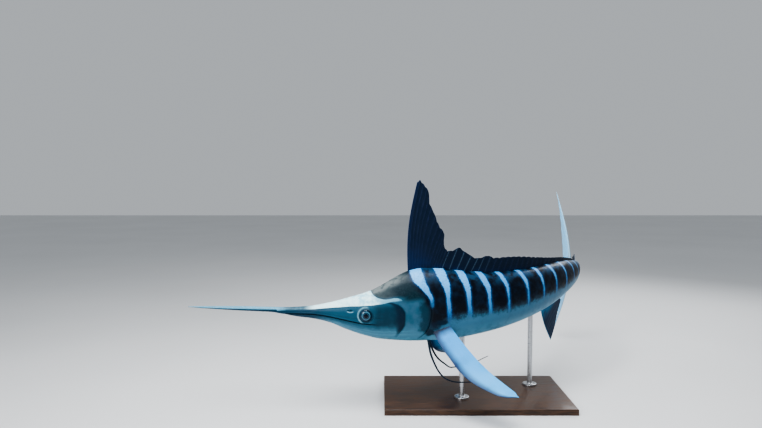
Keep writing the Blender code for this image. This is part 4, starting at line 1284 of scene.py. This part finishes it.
def make_base():
    """A flat wooden base with rounded upper edges."""
    bm = bmesh.new()
    bmesh.ops.create_cube(bm, size=1.0)
    for v in bm.verts:
        v.co = (v.co.x * BASE_LENGTH, v.co.y * BASE_WIDTH, (v.co.z + 0.5) * BASE_HEIGHT)
    edges = [e for e in bm.edges if any(v.co.z > BASE_HEIGHT / 2 for v in e.verts)]
    bmesh.ops.bevel(bm, geom=edges, offset=BASE_BEVEL, segments=6, profile=0.5, affect="EDGES")
    mesh = bpy.data.meshes.new("stand_base")
    bm.to_mesh(mesh)
    bm.free()
    mesh.polygons.foreach_set("use_smooth", [True] * len(mesh.polygons))
    mesh.set_sharp_from_angle(angle=SHARP)
    dress(add_object("display_base", mesh), wood_material(), "wood", "stand_base")


def make_rods():
    """Two steel rods, each with a round foot."""
    steel = steel_material()
    top = BASE_HEIGHT + FOOT_HEIGHT
    quarter = np.linspace(0, math.pi / 2, 7)
    c, d = 1 - np.cos(quarter), 1 - np.sin(quarter)
    foot = [*zip(FOOT_RADIUS - FOOT_ROUNDING * c, top - FOOT_ROUNDING * d)]
    foot += [*zip(ROD_RADIUS + FOOT_FILLET * d, top + FOOT_FILLET * c)]
    for name, s in ROD_PLACES.items():
        x, y, z = spine(s)[0]
        profile = [(FOOT_RADIUS, BASE_HEIGHT), *foot, (ROD_RADIUS, z + belly(s) + BURY)]
        verts = [
            (x + radius * math.cos(a), y + radius * math.sin(a), up)
            for radius, up in profile
            for a in full_turn(ROD_AROUND)
        ]
        rod = mesh_object(name, verts, tube_faces(len(profile), ROD_AROUND))
        rod.data.set_sharp_from_angle(angle=SHARP)
        dress(rod, steel, "steel", "stand_" + name)


def wood_material():
    """Dark oiled wood with a long grain."""
    dark, pale, pore = WOOD
    m = Shader("dark_wood", coat=0.15, gloss=0.5)
    grain = m.noise(16.0, 6.0, (1.0, 9.0, 9.0))
    pores = m.noise(70.0, 3.0, (1.0, 14.0, 14.0))
    colour = m.paint(dark, (m.ramp(grain, 0.3, 0.7), pale), (m.times(m.ramp(pores, 0.5, 0.72), 0.6), pore))
    return m.finish(colour, m.ramp(grain, 0.3, 0.7, 0.36, 0.52), (pores, 0.2, 0.0005))


def steel_material():
    """Brushed steel."""
    dark, pale = STEEL
    m = Shader("brushed_steel", metallic=1.0, gloss=0.5)
    lines = m.noise(50.0, 4.0, (1.0, 1.0, 40.0))
    colour = m.paint(dark, (m.ramp(lines, 0.3, 0.7), pale))
    return m.finish(colour, m.ramp(lines, 0.3, 0.7, 0.24, 0.36), (lines, 0.08, 0.0002))


# Room

FLOOR_HALF = 14.0
FLOOR = ((0.62, 0.63, 0.64), (0.7, 0.71, 0.72))
WORLD = (0.86, 0.9, 0.94)
WORLD_STRENGTH = 0.42
# Square lights: (name, place, aim, size, power)
LIGHTS = (
    ("overhead", (-0.5, -0.9, 3.0), (0.0, 0.1, 0.5), 2.0, 95.0),
    ("front", (-2.4, -2.8, 1.7), (-0.3, 0.0, 0.5), 1.4, 40.0),
    ("back", (1.8, 2.4, 2.2), (0.0, 0.3, 0.5), 1.6, 35.0),
)


def make_floor():
    """A plain pale floor."""
    corners = [(x * FLOOR_HALF, y * FLOOR_HALF, 0) for x, y in ((-1, -1), (1, -1), (1, 1), (-1, 1))]
    floor = mesh_object("floor", corners, [(0, 1, 2, 3)])
    m = Shader("pale_floor", gloss=0.5)
    dark, pale = FLOOR
    floor.data.materials.append(m.finish(m.paint(dark, (m.noise(0.8, 2.0), pale)), 0.75))


def make_light():
    """Soft studio light, mostly from above."""
    for name, where, aim, size, power in LIGHTS:
        data = bpy.data.lights.new(name, "AREA")
        data.size = size
        data.energy = power
        light = add_object(name, data)
        light.location = where
        light.rotation_euler = (Vector(aim) - Vector(where)).to_track_quat("-Z", "Y").to_euler()
    world = bpy.data.worlds.new("pale_room")
    world.use_nodes = True
    world.node_tree.nodes["Background"].inputs["Color"].default_value = (*WORLD, 1.0)
    world.node_tree.nodes["Background"].inputs["Strength"].default_value = WORLD_STRENGTH
    bpy.context.scene.world = world
    bpy.context.scene.view_settings.look = "AgX - High Contrast"


def make_camera():
    """The camera at the picture's viewing angle."""
    data = bpy.data.cameras.new("camera")
    data.sensor_width = SENSOR
    data.lens = SENSOR * FOCAL_POINTS / FRAME_WIDTH
    camera = add_object("camera", data)
    camera.location = CAMERA_PLACE
    camera.rotation_euler = (math.radians(90 - CAMERA_PITCH), 0.0, 0.0)
    bpy.context.scene.camera = camera


def main():
    """Dress the model and light the room."""
    make_skin()
    make_dorsal()
    make_small_fins()
    make_tail()
    make_pectorals()
    make_pelvics()
    make_eyes()
    make_base()
    make_rods()
    make_floor()
    make_light()
    make_camera()


main()
